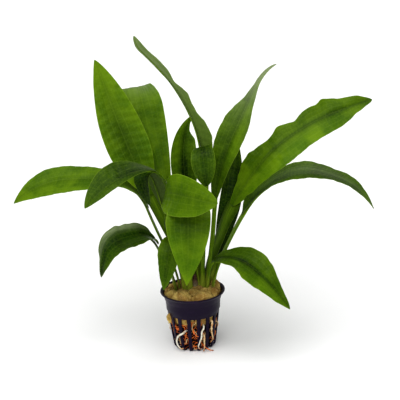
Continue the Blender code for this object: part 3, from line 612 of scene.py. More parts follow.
LEAVES = {
    "leaf_far_left": dict(
        foot=(-10.5, 9), length=200, blade=128,
        course=[(0, 7, 180), (0.15, 24, 172), (0.36, 23, 150), (0.5, 71, 160),
                (0.62, 90, 168), (0.75, 92, 176), (1, 132, 187)],
        half_width=(16.5, 13.5), widest=0.62, ends=(1.4, 0.8), fold=(4, 12),
        edge={"left": [(0, 3), (0.1, 2.2), (0.2, 1)],
              "right": [(0, 3), (0.1, 2.2), (0.2, 1)]},
        side=[(0, 1, 0.2), (0.1, 0.75, 0.66)], wing=1.0, tone=0.66, stem=0.6, wave=0.8, waves=2.0),
    "leaf_arched_left": dict(
        foot=(5.2, 6.5), length=190, blade=74,
        course=[(0, 2, 160), (0.3, 18, 165), (0.4, 15, 210), (0.6, 58, 242),
                (0.75, 97, 212), (1, 136, 202)],
        half_width=(8.8, 15.5), widest=0.52, ends=(0.8, 0.75), fold=8,
        edge={"left": [(0, 0.6), (0.5, 0.6), (0.8, 0.9), (1, 1)],
              "right": [(0, 1), (0.7, 1), (1, 0.8)]},
        side=[(-0.6, 0.7, 0.2), (-0.5, 0.5, 0.6)], stalk=(1.1, 1.9), wave=0.5, waves=1.5,
        tone=0.06, tone_light_and_shade_dabs=[(0, 1, 1.5, 0.45, 0.4)], painted_sheen=[(0.4, 0.05, 0.8, 0.25, 0.18)]),
    "leaf_tall_left": dict(
        foot=(-2.5, 10.5), length=203, blade=120,
        course=[(0, 10, 150), (0.15, 22, 168), (0.4, 26, 163), (0.6, 23, 154),
                (0.8, 21, 145), (1, 25, 138)],
        half_width=(17.0, 18.5), widest=0.4, ends=(0.7, 0.75), fold=6, wave=1.0,
        waves=2.5, edge={"left": [(0, 1), (0.6, 1), (0.85, 0.95), (1, 0.8)]},
        side=[(1, 0.2, 0.1), (1, 0.1, 0.3)], wing=3.0, tone=0.66, stem=0.3, quilt=0.22,
        tone_light_and_shade_dabs=[(-0.1, 0.45, 0.6, 0.3, -0.32), (0, 1, 1.5, 0.35, 0.25)]),
    "leaf_folded_back": dict(
        foot=(2, 12.5), length=209, blade=134,
        course=[(0, 9, 112), (0.15, 21, 145), (0.4, 24, 134), (0.73, 23, 116),
                (0.8, 48, 106), (0.87, 118, 95), (1, 150, 94)],
        half_width=(14.5, 16.0), widest=0.62, ends=(0.75, 0.5), fold=3, wave=0.6,
        edge={"right": [(0, 1), (0.6, 1.02), (0.66, 0.97), (0.8, 0.66), (1, 0.6)]},
        side=[(1, 0.2, 0), (1, 0.1, 0.2)], wing=4.0, tone=0.66, stem=0.1,
        tone_light_and_shade_dabs=[(0, 0.3, 0.25, 0.3, 0.35)], painted_sheen=[(0.2, 0.74, 1.2, 0.06, 0.3)]),
    # Its light spot paints light on the left half, which faces the light, and its dark spot paints
    # shade in the fold low on the blade.
    "leaf_centre_back": dict(
        foot=(6.6, 11), length=143, blade=76,
        course=[(0, 3, 90), (0.2, 8, 135), (0.5, 13, 135), (0.73, 10, 90),
                (1, 30, 20)],
        half_width=12.5, widest=0.5, ends=(0.6, 0.75), fold=30, wave=0.4,
        edge={"right": [(0, 1), (0.76, 1), (0.84, 0.4), (0.93, 0.3), (1, 1)]},
        side=[(1, 0, 0), (1, 0.1, 0)], wing=5.0, tone=0.4,
        tone_light_and_shade_dabs=[(-0.55, 0.7, 0.35, 0.5, 0.3), (0.0, 0.2, 0.4, 0.4, -0.6)]),
    "leaf_slender_top": dict(
        foot=(8.2, 16.3), length=231, blade=139,
        course=[(0, 4, 280), (0.15, 6, 333), (0.4, 3, 270), (0.52, 10, 222),
                (0.62, 22, 210), (0.7, 28, 207), (0.8, 36, 207), (0.9, 43, 207),
                (0.94, 44, 207), (0.97, 22, 207), (1, 8, 207)],
        half_width=13.0, widest=0.3, ends=(0.8, 0.6), fold=24, wave=(0.8, 0.4),
        waves=3.0,
        edge={"left": [(0, 1), (0.26, 1), (0.335, 0.8), (0.41, 0.5), (0.47, 0.52),
                       (0.54, 0.7), (0.58, 0.55), (0.63, 0.25), (0.7, 0.46),
                       (0.8, 0.6), (0.88, 0.7), (0.95, 1.1), (1, 1)],
              "right": [(0, 1), (0.26, 0.8), (0.41, 0.45), (0.54, 0.55), (0.63, 0.3),
                        (0.7, 0.45), (0.88, 0.6), (1, 1)]},
        side=[(-0.5, 0.85, -0.1), (-0.45, 0.75, -0.25), (-0.55, 0.45, -0.5)], tone=0.45,
        painted_sheen=[(0, 0.85, 2, 0.35, 0.4)]),
    "leaf_nodding_centre": dict(
        foot=(8.5, 6), length=163, blade=51,
        course=[(0, 4, 300), (0.4, 9, 307), (0.69, 3, 275), (0.74, 25, 262),
                (0.8, 95, 265), (0.87, 163, 280), (1, 172, 295)],
        half_width=(9.0, 10.0), widest=0.62, ends=(0.95, 0.6), fold=2, wave=0.3,
        side=[(-1, 0, -0.1), (-1, 0.1, -0.5)], wing=1.0, tone=0.15, stem=0.6, dent=0.4),
    "leaf_tall_right": dict(
        foot=(12.3, 5.5), length=205, blade=132,
        course=[(0, 8, -40), (0.13, 11, -38), (0.3, 5, -10), (0.5, 17, 12),
                (0.62, 27, 22), (0.72, 34, 36), (0.8, 36, 46), (0.88, 49, 46),
                (0.95, 68, 44), (1, 82, 42)],
        half_width=(12.0, 13.5), widest=0.42, ends=(0.8, 0.6), fold=(30, 14),
        wave=0.6,
        edge={"left": [(0, 0.7), (0.25, 0.9), (0.45, 1.05), (0.54, 1.05), (0.61, 0.8),
                       (0.69, 0.38), (0.78, 0.18), (1, 0.3)],
              "right": [(0, 0.7), (0.3, 0.85), (0.5, 0.98), (0.56, 0.85), (0.63, 0.6),
                        (0.7, 0.5), (0.8, 0.3), (1, 0.35)]},
        side=[(0.75, -0.6, -0.2), (0.75, -0.6, -0.2), (0.75, -0.55, -0.35)], tone=0.36,
        stem=0.7, tone_light_and_shade_dabs=[(0.5, 0.35, 0.35, 0.5, 0.35)], painted_sheen=[(0, 0.9, 2, 0.25, 0.7)]),
    # Its dark spot paints shade over the lower blade, which stands deep behind its neighbours.
    "leaf_behind_right": dict(
        foot=(15.5, 11.5), length=122, blade=100,
        course=[(0, 14, 10), (0.2, 25, 22), (0.45, 25, 36), (0.7, 17, 70),
                (1, 14, 90)],
        half_width=(13.5, 5.0), widest=0.5, ends=(0.7, 0.9), fold=12, wave=0.4,
        side=[(1, 0, 0)], stalk=(1.3, 2.0), wing=3.0, tone=0.3,
        tone_light_and_shade_dabs=[(0, 0.25, 2.0, 0.4, -0.9)]),
    "leaf_upper_front": dict(
        foot=(-6.5, 8), length=152, blade=81,
        course=[(0, 4, 250), (0.25, 11, 205), (0.42, 16, 205), (0.52, 34, 262),
                (0.61, 58, 294), (0.71, 86, 307), (1, 93, 330)],
        half_width=(16.5, 18.0), widest=0.46, ends=(0.45, 0.62), fold=4, wave=0.6,
        edge={"left": [(0, 0.5), (0.12, 0.65), (0.28, 0.87), (0.45, 1)],
              "right": [(0, 0.2), (0.12, 0.35), (0.22, 0.55), (0.36, 0.92), (0.7, 1),
                        (0.85, 1.15), (1, 1)]},
        side=[(-0.25, -0.2, -0.93), (-0.3, -0.45, -0.85)], wing=2.0, tone=0.6,
        tone_light_and_shade_dabs=[(0, 0.1, 1.5, 0.12, 0.3)], painted_sheen=[(0, 0.06, 2, 0.06, 0.4)]),
    # Its dark band paints shade across the blade, under the leaf above it.
    "leaf_front_hanging": dict(
        foot=(-2.1, 2.6), length=150, blade=88,
        course=[(0, 6, 290), (0.35, 10, 272), (0.45, 24, 270), (0.52, 52, 270),
                (0.65, 148, 270), (0.75, 170, 258), (1, 172, 222)],
        half_width=(18.0, 18.5), widest=0.36, ends=(0.95, 1.0), fold=3, wave=0.7,
        edge={"right": [(0, 0.55), (0.22, 0.7), (0.42, 0.97), (1, 1)]},
        waves=2.0, side=[(-1, 0, 0)], tone=0.7, quilt=0.2,
        tone_light_and_shade_dabs=[(0, 1, 1.5, 0.4, 0.2), (0, 0.45, 2.0, 0.12, -0.35)]),
    "leaf_large_right": dict(
        foot=(10.6, 10.5), length=222, blade=150,
        course=[(0, 11, -12), (0.15, 23, -10), (0.22, 21, 4), (0.35, 34, 18),
                (0.5, 43, 17), (0.65, 59, 14), (0.85, 74, 13), (1, 80, 14)],
        half_width=(14.0, 19.0), widest=0.42, ends=(0.6, 0.62), fold=(8, 3),
        wave=(1.6, 0.8), waves=(4.2, 3.0), phase=(0.3, 0.4),
        edge={"left": [(0, 1), (0.2, 1.1), (0.28, 1.12), (0.36, 0.85), (0.41, 0.68),
                       (0.47, 0.92), (0.51, 0.84), (0.56, 0.66), (0.63, 1.02),
                       (0.68, 1.02), (0.715, 1.05), (0.74, 1.4), (0.79, 1.3),
                       (0.85, 1.15), (0.93, 1.3), (1, 1)],
              "right": [(0, 1.1), (0.3, 1.05), (0.55, 0.95), (0.7, 1.0), (0.78, 1.05),
                        (0.85, 0.98), (0.88, 0.8), (0.92, 0.85), (0.96, 0.7), (1, 0.9)]},
        side=[(0.25, -0.75, -0.45), (0.4, -0.5, -0.75)], wing=6.0, tone=0.5, stem=0.2,
        tone_light_and_shade_dabs=[(0.6, 0.5, 0.5, 0.3, 0.4), (0, 0.1, 1.5, 0.2, 0.3), (0, 0.5, 0.12, 0.5, -0.3)]),
    "leaf_drooping_right": dict(
        foot=(16.4, 1), length=199, blade=127,
        course=[(0, 12, -9), (0.17, 26, -25), (0.32, 28.5, -16), (0.42, 38, -14),
                (0.61, 68, -15), (0.73, 95, -17), (0.88, 121, -18), (1, 147, -28)],
        half_width=(13.0, 9.0), widest=0.52, ends=(0.8, 0.75), fold=10,
        edge={"left": [(0, 0.6), (0.04, 2.4), (0.08, 2.0), (0.13, 1.0), (0.7, 0.97),
                       (0.76, 1.08), (0.86, 1.0), (1, 1.1)],
              "right": [(0, 0.8), (0.5, 0.95), (0.66, 1.2), (0.8, 1.0)]},
        wave=(0.9, 0.9), waves=(2.6, 2.2), side=[(0.2, -1, -0.1), (0, -0.93, -0.33)],
        wing=1.5, tone=0.12, stem=0.75, tone_light_and_shade_dabs=[(0, 1, 1.5, 0.15, 0.35)],
        painted_sheen=[(-0.3, 0.6, 0.6, 0.3, 0.2)]),
    "leaf_low_right": dict(
        foot=(12.7, 1.6), length=113, blade=84,
        course=[(0, 6, -60), (0.12, 20, -66), (0.25, 44, -58), (0.36, 76, -33),
                (0.46, 98, -24), (0.6, 121, -30), (1, 146, -26)],
        half_width=15.5, widest=0.34, ends=(0.6, 0.8), fold=8, wave=0.9, waves=2.2,
        edge={"left": [(0, 0.7), (0.19, 0.8), (0.32, 1.05), (0.46, 1.08), (0.6, 1),
                       (0.73, 0.8), (0.87, 0.62), (1, 0.8)],
              "right": [(0, 0.8), (0.32, 0.75), (0.46, 1.05), (0.6, 1.12), (0.73, 1.22),
                        (0.87, 1.3), (1, 1.1)]},
        side=[(-0.45, -0.8, -0.2), (-0.3, -0.75, -0.6)], stalk=(1.2, 2.0), tone=0.38, stem=0.85,
        tone_light_and_shade_dabs=[(0, 0.4, 0.12, 0.5, -0.35), (0.7, 0.75, 0.5, 0.35, 0.3)]),
    "leaf_low_left": dict(
        foot=(-14.5, 9), length=117, blade=74,
        course=[(0, 6, 214), (0.15, 24, 200), (0.36, 26, 215), (0.46, 54, 214),
                (0.54, 84, 212), (0.67, 92, 211), (0.76, 118, 214), (0.85, 150, 228),
                (1, 166, 250)],
        half_width=(16.0, 13.0), widest=0.55, ends=(0.6, 0.7), fold=(18, 20),
        edge={"left": [(0, 1), (0.2, 1.15), (0.5, 1.15), (0.8, 1)],
              "right": [(0, 1), (0.5, 0.95), (0.66, 0.7), (0.82, 0.35), (1, 0.4)]},
        side=[(-0.3, 0.9, 0.2), (-0.4, 0.6, 0.65)], stalk=(1.9, 2.6), wing=4.5,
        wave=(1.0, 1.4), waves=(2.0, 2.4), tone=0.08, painted_sheen=[(0.85, 0.5, 0.3, 0.3, 0.6)]),
    "leaf_low_front": dict(
        foot=(-6.5, 3.5), length=97, blade=64,
        course=[(0, 9, 210), (0.3, 10, 250), (0.42, 24, 262), (0.52, 60, 248),
                (0.61, 128, 247), (0.72, 162, 242), (1, 167, 198)],
        half_width=(9.5, 9.0), widest=0.5, ends=(0.7, 0.85), fold=8, wave=0.5,
        side=[(-0.9, 0.4, 0)], stalk=(1.4, 2.2), tone=0.4),
    # This leaf stands in the plant's shade, and its tone under 0 paints that shade.
    "leaf_shaded_left": dict(
        foot=(-6.8, 11.2), length=139, blade=84,
        course=[(0, 10, 225), (0.3, 13, 186), (0.6, 15, 190), (0.69, 18, 205),
                (0.75, 48, 214), (0.81, 122, 248), (0.87, 153, 300), (1, 152, 330)],
        half_width=(11.0, 7.5), widest=0.55, ends=(0.8, 0.7), fold=6, wave=0.4,
        side=[(-0.65, 0.75, 0), (-0.8, 0.6, 0)], stalk=(1.4, 2.2), wing=4.0, tone=-0.1),
}
print(len(LEAVES), "leaves")

# %% [markdown]
# The flat blade starts as a grid and gets two faces by Solidify, so that the upper
# side and the underside can be told apart by height. The straight stalk starts as
# a cylinder whose long edges are subdivided into rings.
# %% Blade and stalk to copy
BLADE_COLUMNS, BLADE_ROWS = 56, 150
STALK_SIDES, STALK_RINGS = 16, 90


def make_flat_blade():
    """A flat blade: x from -1 to 1, y from 0 to 1, and z at -0.5 or 0.5."""
    select_only()
    bpy.ops.mesh.primitive_grid_add(x_subdivisions=BLADE_COLUMNS, y_subdivisions=BLADE_ROWS,
                                    size=2.0)
    blade = bpy.context.active_object
    edit_mode("VERT", "SELECT")
    bpy.ops.transform.resize(value=(1.0, 0.5, 1.0), center_override=(0.0, -1.0, 0.0))
    bpy.ops.transform.translate(value=(0.0, 1.0, 0.0))
    object_mode()
    sides = blade.modifiers.new("sides", "SOLIDIFY")
    sides.thickness = 1.0
    sides.offset = 0.0
    apply_modifiers(blade)
    blade.name = "flat_blade"
    return blade


def make_straight_stalk():
    """A straight stalk: a round tube of radius 1, from z = 0 to z = 1."""
    select_only()
    bpy.ops.mesh.primitive_cylinder_add(vertices=STALK_SIDES, radius=1.0, depth=1.0,
                                        location=(0.0, 0.0, 0.5))
    stalk = bpy.context.active_object
    bpy.ops.object.transform_apply(location=True, rotation=False, scale=False)
    points = stalk.data.vertices
    edit_mode("EDGE", "DESELECT")
    object_mode()
    for edge in stalk.data.edges:
        low, high = (points[index].co.z for index in edge.vertices)
        edge.select = abs(high - low) > 0.5
    bpy.ops.object.mode_set(mode="EDIT")
    bpy.ops.mesh.subdivide(number_cuts=STALK_RINGS)
    object_mode()
    stalk.name = "straight_stalk"
    return stalk


flat_blade = make_flat_blade()
straight_stalk = make_straight_stalk()
blade_places = read_points(flat_blade.data)
stalk_places = read_points(straight_stalk.data)
print("blade", len(blade_places), "points; stalk", len(stalk_places), "points")

# %% [markdown]
# Carrying a point needs the route's place and three directions there: the way the
# leaf travels, its right-hand side and the upper side of its blade. The side turns
# from its first value where the blade starts to its last at the tip.
# %% Route and frames
BLADE_THICKNESS = 0.45
RIB_THICKNESS = 0.7         # midrib's thickness, as a share of the stalk's
STALK_TAPER = 0.85          # part of the rib that is lost towards the tip
TAPER_CURVE = 0.7           # below 1, the rib thins most where the blade starts
STALK_BURIED = 5.0          # how far a stalk runs down into the wool


def unit(rows):
    """Rows of three numbers, each made one long."""
    return rows / np.linalg.norm(rows, axis=1, keepdims=True)


class Route:
    """A leaf's way from its foot to its tip, in mm."""

    def __init__(self, leaf):
        shares, leans, headings = np.array(leaf["course"], float).T
        self.length = leaf["length"]
        steps = round(self.length)
        middles = (np.arange(steps) + 0.5) / steps
        lean = np.radians(np.interp(middles, shares, leans))
        heading = np.radians(np.interp(middles, shares, headings))
        travel = np.column_stack([np.sin(lean) * np.cos(heading),
                                  np.sin(lean) * np.sin(heading), np.cos(lean)])
        x, y = leaf["foot"]
        foot = np.array([[x, y, wool_height(x, y)]])
        self.points = np.vstack([foot, foot + np.cumsum(travel, axis=0) * self.length / steps])
        self.shares = np.arange(steps + 1) / steps
        self.ways = unit(np.gradient(self.points, axis=0))
        self.blade_start = 1 - leaf["blade"] / self.length
        along = np.clip((self.shares - self.blade_start) / (1 - self.blade_start), 0, 1)
        turns = unit(np.array(leaf["side"], float))
        stops = np.linspace(0, 1, len(turns))
        side = np.column_stack([np.interp(along, stops, turns[:, axis]) for axis in range(3)])
        side -= self.ways * np.sum(side * self.ways, axis=1, keepdims=True)
        self.sides = unit(side)
        self.uppers = np.cross(self.sides, self.ways)

    def at(self, shares):
        """Place, way, side and upper direction at shares of the length."""
        answers = []
        for rows in (self.points, self.ways, self.sides, self.uppers):
            found = [np.interp(shares, self.shares, rows[:, axis]) for axis in range(3)]
            answers.append(np.column_stack(found))
        below = np.clip(-shares, 0, None) * self.length
        answers[0][:, 2] -= below
        return answers


# %% [markdown]
# A blade is never flat. Its halves fold up from the midrib, its margins wave because
# they grow longer than its middle, the skin swells between the veins that run with
# the margin and puckers across them, and slow dents come from the way it was packed.
# Each of these is a small height over the folded sheet.
# %% Shape a blade
VEINS = (0.0, 0.34, 0.62, 0.84)     # shares of the half width
LAST_VEIN_END = 1.12                # where the swell past the last vein would end
SWELL = 0.12                        # of the skin between two veins
RIPPLES_PER_WAVE = 3.7              # short ripples on a margin's long waves
RIPPLE = 0.28                       # a ripple's height, as a share of a wave's
QUILT_PITCH = 6.5                   # distance between two puckers along the blade
DENTS_ACROSS, DENTS_ALONG = 1.6, 5.0    # how closely the slow dents follow
EDGE_THINNING = 0.45                # part of the thickness lost at the margin
EDGE_STEPS = 200                    # of a margin's factors
EDGE_SOFTNESS = 6                   # steps on both sides over which they even out


def blade_width(share, widest, ends):
    """Width of a blade along its length, as a share of its widest place.

    Below 1 an end is blunt, and above 1 it is drawn out.
    """
    base, tip = ends
    rising = np.sin(math.pi / 2 * np.clip(share / widest, 0, 1)) ** base
    falling = np.cos(math.pi / 2 * np.clip((share - widest) / (1 - widest), 0, 1)) ** tip
    return rising * falling


def rib_size(leaf, along):
    """Half width and thickness of a stalk at shares of its blade."""
    half, thick = leaf.get("stalk", STALK)
    taper = 1.0 - STALK_TAPER * np.clip(along, 0, 1) ** TAPER_CURVE
    return half * taper, thick * taper


def per_half(value, left):
    """A value for each point, from one number or from (left, right)."""
    if isinstance(value, tuple):
        return np.where(left, value[0], value[1])
    return np.full(left.shape, float(value))


def uneven_edge(stops, along):
    """Smooth factors on a margin's width, from stops of (share, factor)."""
    places, factors = np.array(stops, float).T
    fine = np.linspace(0, 1, EDGE_STEPS + 1)
    rough = np.pad(np.interp(fine, places, factors), EDGE_SOFTNESS - 1, mode="edge")
    weights = np.hanning(2 * EDGE_SOFTNESS + 1)[1:-1] / EDGE_SOFTNESS
    return np.interp(along, fine, np.convolve(rough, weights, "valid"))


def shape_blade(leaf, route):
    """Points of a leaf's blade, in mm, with each one's place on it."""
    across, along, face = blade_places.T
    left = across < 0
    out = np.abs(across)
    widest = per_half(leaf["half_width"], left)
    spread = widest * blade_width(along, leaf["widest"], leaf["ends"])
    for name, here in (("left", left), ("right", ~left)):
        if name in leaf.get("edge", {}):
            spread[here] *= uneven_edge(leaf["edge"][name], along[here])
    rib_half, rib_thick = rib_size(leaf, along)
    width = np.hypot(spread, rib_half)
    fold = np.radians(per_half(leaf["fold"], left)) * spread / width
    sideways = width * out * np.cos(fold)
    height = width * out * np.sin(fold)
    rise = per_half(leaf.get("wave", 1.2), left)
    count = per_half(leaf.get("waves", 3.0), left)
    phase = per_half(leaf.get("phase", (0.1, 0.6)), left)
    ends = np.clip(spread / widest, 0, 1)
    height += rise * ends * out ** 2.2 * np.sin(2 * math.pi * (count * along + phase))
    ripple = np.sin(2 * math.pi * (count * RIPPLES_PER_WAVE * along + phase * 3))
    height += RIPPLE * rise * ends * out ** 5 * ripple
    for start, end in zip(VEINS, (*VEINS[1:], LAST_VEIN_END)):
        part = np.clip((out - start) / (end - start), 0, 1)
        height += SWELL * ends * np.sin(math.pi * part) * (out >= start) * (out <= end)
    quilt = np.sin(2 * math.pi * (leaf["blade"] / QUILT_PITCH * along + 0.7 * out))
    height += leaf.get("quilt", 0.12) * ends * quilt * np.clip(out * 3, 0, 1)
    seed = sum(ord(letter) for letter in leaf["name"])
    dents = [noise.noise(Vector((x * DENTS_ACROSS + seed, y * DENTS_ALONG, seed * 0.37)))
             for x, y in zip(across, along)]
    height += leaf.get("dent", 1.0) * ends * np.array(dents) * np.clip(out * 4, 0, 1)
    thickness = BLADE_THICKNESS * (1 - EDGE_THINNING * out)
    shares = route.blade_start + along * (1 - route.blade_start)
    place, way, side, upper = route.at(shares)
    lift = height + rib_thick / 2 + face * thickness
    points = place + side * (np.sign(across) * sideways)[:, None] + upper * lift[:, None]
    marks = np.column_stack([across, along * leaf["blade"], across * width])
    return points, marks


# %% [markdown]
# The stalk's cross-section is a rounded D with its flat side up. At its foot it
# widens into the sheath that clasped the crown. Higher up the blade may run down on
# both its sides as a thin green wing, and under the blade it narrows into the midrib.
# %% Shape a stalk
SHEATH_LENGTH = 13.0
SHEATH_WIDTH = 0.55         # widening at the foot, as a share of the stalk's width
UPPER_WIDTH = 0.25          # widening of the free stalk, as such a share
UPPER_FROM = 40.0           # height over the wool at which it is all there
RIB_NARROWING = 0.45        # part of the width that is lost under the blade
RIB_SUNK = 0.32             # how deep the rib sits in the blade, in its thickness
RIB_BLEND = 0.12            # share of the blade over which a stalk becomes its rib
WING_REACH = 1.3            # how far a wing runs down, in lengths of the blade


def shape_stalk(leaf, route):
    """Points of a leaf's stalk and midrib, in mm, with each one's place."""
    across, round_about, share = stalk_places.T
    bottom = -STALK_BURIED / route.length
    shares = bottom + share * (1 - bottom)
    along = (shares - route.blade_start) / (1 - route.blade_start)
    half, thick = rib_size(leaf, along)
    into_blade = np.clip(along / RIB_BLEND, 0, 1)
    free = 1 - into_blade
    above = shares * route.length
    sheath = np.clip(1 - above / SHEATH_LENGTH, 0, 1.3) ** 1.6
    half = half * (1 - RIB_NARROWING * into_blade) * (1 + SHEATH_WIDTH * sheath)
    half = half * (1 + UPPER_WIDTH * np.clip(above / UPPER_FROM, 0, 1) * free)
    thick = thick * (1 - (1 - RIB_THICKNESS) * into_blade)
    flat = np.where(round_about > 0, 0.72 - 0.28 * (1 - across ** 2), 1.0)
    place, way, side, upper = route.at(shares)
    lift = (round_about * flat / 2 - RIB_SUNK * into_blade) * thick
    wing = leaf.get("wing", 0.0) * np.clip(1 + along / WING_REACH, 0, 1) ** 1.6 * free
    winged = wing / (half + wing) * np.abs(across)
    half = half + wing
    points = place - side * (across * half)[:, None] + upper * lift[:, None]
    marks = np.column_stack([across, above, across * half])
    green = np.clip(1.6 * winged, 0, 1)
    return points, marks, green


# %% [markdown]
# The leaf's colours follow its growth, so the materials read the place on the leaf
# that was stored with every point, and a tone that says how young and light it is.
# A dark tone also paints the shade on leaves that stand deep in the plant.
# %% Leaf green


def make_leaf_material():
    """Waxy green with veins, pale margins and a duller underside."""
    recipe = Recipe("leaf_visual")
    node = recipe.node("ShaderNodeAttribute", attribute_name="leaf_place")
    leaf_place = node.outputs["Vector"]
    across, along, _ = recipe.node("ShaderNodeSeparateXYZ", {0: leaf_place}).outputs
    tone, under, stalk, painted_sheen = recipe.painted("leaf_tone")
    out = recipe.math("ABSOLUTE", across)

    # Veins with the margin, finer ones between them, and cross veins that slant
    vein = 0.0
    for share, width in zip(VEINS, (0.045, 0.03, 0.026, 0.022)):
        gap = recipe.math("ABSOLUTE", recipe.math("SUBTRACT", out, share))
        vein = recipe.math("MAXIMUM", vein, recipe.span(gap, width, width * 0.25))
    fine = recipe.math("PINGPONG", recipe.times(out, 19.0), 0.5)
    fine = recipe.span(fine, 0.16, 0.0, 0.0, 0.35)
    slanted = recipe.math("SUBTRACT", recipe.times(along, 0.36), recipe.times(out, 0.9))
    warp = recipe.times(recipe.noise(220.0, 2.0), 1.6)
    cross_wave = recipe.math("PINGPONG", recipe.math("ADD", slanted, warp), 0.5)
    cross_vein = recipe.span(cross_wave, 0.1, 0.0)
    lines = recipe.math("MAXIMUM", recipe.times(cross_vein, 0.05), recipe.times(fine, 0.03))
    lines = recipe.math("MAXIMUM", recipe.times(vein, 0.06), lines)

    # The blade, from dark to light, then its lines, its margin and its underside
    blotch = recipe.noise(60.0, 4.0, 0.5)
    mottle = recipe.noise(700.0, 3.0)
    dark = recipe.mix(recipe.span(blotch, 0.35, 0.65), (0.004, 0.017, 0.0005),
                      (0.011, 0.038, 0.0010))
    light = recipe.mix(recipe.span(blotch, 0.3, 0.7), (0.068, 0.150, 0.0018),
                       (0.138, 0.240, 0.0045))
    green = recipe.mix(tone, dark, light)
    bright = recipe.mix(0.4, green, (0.20, 0.31, 0.012))
    green = recipe.mix(recipe.span(mottle, 0.4, 0.75, 0.0, 0.3), green, bright)
    green = recipe.mix(lines, green, (0.36, 0.52, 0.07))
    margin = recipe.span(out, 0.95, 1.0)
    green = recipe.mix(recipe.times(margin, 0.3), green, (0.34, 0.46, 0.06))
    green = recipe.mix(under, green, recipe.mix(0.45, green, (0.13, 0.20, 0.04)))

    # The stalk's long stripes and pale foot, and streaks of painted sheen, a pale grey-green where
    # a fold or an arch would catch the light
    stripes = recipe.noise(1.6, 3.0, vector=recipe.stretch(leaf_place, (2.5, 0.03, 2.5)))
    stem = recipe.mix(recipe.span(stripes, 0.3, 0.7), (0.045, 0.115, 0.003),
                      (0.19, 0.30, 0.012))
    foot = recipe.span(along, 16.0, 2.0)
    stem = recipe.mix(recipe.times(foot, 0.8), stem, (0.34, 0.42, 0.05))
    green = recipe.mix(stalk, green, stem)
    streaks = recipe.noise(1.2, 4.0, vector=recipe.stretch(leaf_place, (9.0, 0.02, 0.4)))
    sheen_share = recipe.times(painted_sheen, recipe.span(streaks, 0.25, 0.75, 0.35, 1.0))
    colour = recipe.mix(sheen_share, green, (0.40, 0.46, 0.27))

    dull = recipe.span(recipe.noise(130.0, 5.0, 0.3), 0.35, 0.75, 0.30, 0.46)
    roughness = recipe.math("ADD", dull, recipe.times(under, 0.12))
    cells = recipe.times(cross_wave, recipe.math("SUBTRACT", 1.0, vein))
    normal = recipe.bump(cells, 0.22, 0.0005)
    normal = recipe.bump(vein, 0.12, 0.0002, normal)
    normal = recipe.bump(mottle, 0.12, 0.0002, normal)
    return recipe.finish(colour, roughness, normal, Specular_IOR_Level=0.06)


leaf_green = make_leaf_material()

# %% [markdown]
# Now every leaf is made: the blade and the stalk are copied, carried, painted and
# joined into one piece.
# %% Make the leaves


def add_copy(template, points, marks, tones):
    """A copy of a template with its own points, places and tones."""
    piece = template.copy()
    piece.data = template.data.copy()
    bpy.context.scene.collection.objects.link(piece)
    write_points(piece.data, points * MM)
    layer = piece.data.attributes.new("leaf_place", "FLOAT_VECTOR", "POINT")
    layer.data.foreach_set("vector", np.asarray(marks, np.float32).ravel())
    paint(piece.data, "leaf_tone", tones)
    return piece


def spots(entries, across, along):
    """Soft oval spots on a blade, added up."""
    total = np.zeros(len(across))
    for middle, centre, wide, long, amount in entries:
        away = ((across - middle) / wide) ** 2 + ((along - centre) / long) ** 2
        total += amount * np.exp(-away)
    return total


def blade_tones(leaf, marks):
    """Tone, underside, stalk and painted sheen at each point of a blade."""
    across = marks[:, 0]
    along = marks[:, 1] / leaf["blade"]
    # Painted shade darkens the blade along its midrib and painted light brightens it towards the
    # margins, as on a blade folded up from its midrib. The spots add their tone, painted shade and
    # painted light.
    margin = 0.08 * across ** 2 + 0.16 * across ** 6
    midrib = 0.12 * np.exp(-(across / 0.2) ** 2)
    tone = leaf["tone"] + margin - midrib + spots(leaf.get("tone_light_and_shade_dabs", ()), across, along)
    under = (blade_places[:, 2] < 0).astype(float)
    painted_sheen = spots(leaf.get("painted_sheen", ()), across, along)
    return np.column_stack([np.clip(tone, 0, 1.3), under, np.zeros(len(marks)), painted_sheen])


def make_leaf(name, leaf):
    """One leaf: its blade and its stalk, joined."""
    leaf["name"] = name
    route = Route(leaf)
    points, marks = shape_blade(leaf, route)
    blade = add_copy(flat_blade, points, marks, blade_tones(leaf, marks))
    points, marks, green = shape_stalk(leaf, route)
    tones = np.zeros((len(points), 4))
    tones[:, 0] = leaf.get("stem", leaf["tone"] - 0.15)
    tones[:, 2] = 1.0 - green
    stalk = add_copy(straight_stalk, points, marks, tones)
    select_only(stalk, blade)
    bpy.ops.object.join()
    bpy.ops.object.shade_smooth()
    finish_piece(blade, name + "_blade_and_stalk", leaf_green, [name])


for leaf_name, leaf_entry in LEAVES.items():
    make_leaf(leaf_name, leaf_entry)
for template in (flat_blade, straight_stalk):
    bpy.data.objects.remove(template, do_unlink=True)

# %% [markdown]
# ## The crown
# Between the leaves stands the stub of the old rootstock, dark and scaly where
# earlier leaves broke off. A sphere is drawn up into the stub, and its skin is
# roughened.
# %% Crown
CROWN_CENTRE = (2.3, 4.2)
CROWN_RINGS = [(1.5, 0.4), (2.2, 2.0), (2.1, 5.0), (1.6, 8.0), (1.3, 10.5), (0.6, 12.0)]
select_only()
bpy.ops.mesh.primitive_uv_sphere_add(segments=48, ring_count=40, radius=1.0)
crown = bpy.context.active_object
crown_radii, crown_heights = np.array(CROWN_RINGS).T        # a radius at each height
crown_foot = Vector((*CROWN_CENTRE, wool_height(*CROWN_CENTRE)))
crown_points = []
for point in read_points(crown.data):
    share, turned = sphere_place(point)
    height = float(np.interp(share, np.linspace(0, 1, len(CROWN_RINGS)), crown_heights))
    radius = float(np.interp(height, crown_heights, crown_radii))
    radius *= min(1.0, math.sin(math.pi * share) * 4.0)
    scales = 0.22 * abs(math.sin(turned * 2.5 + height * 1.1)) - 0.1
    radius *= 1.0 + scales + 0.18 * noise.noise(Vector(point) * 3.0)
    off = Vector((radius * math.cos(turned), radius * math.sin(turned), height))
    crown_points.append((crown_foot + off) * MM)
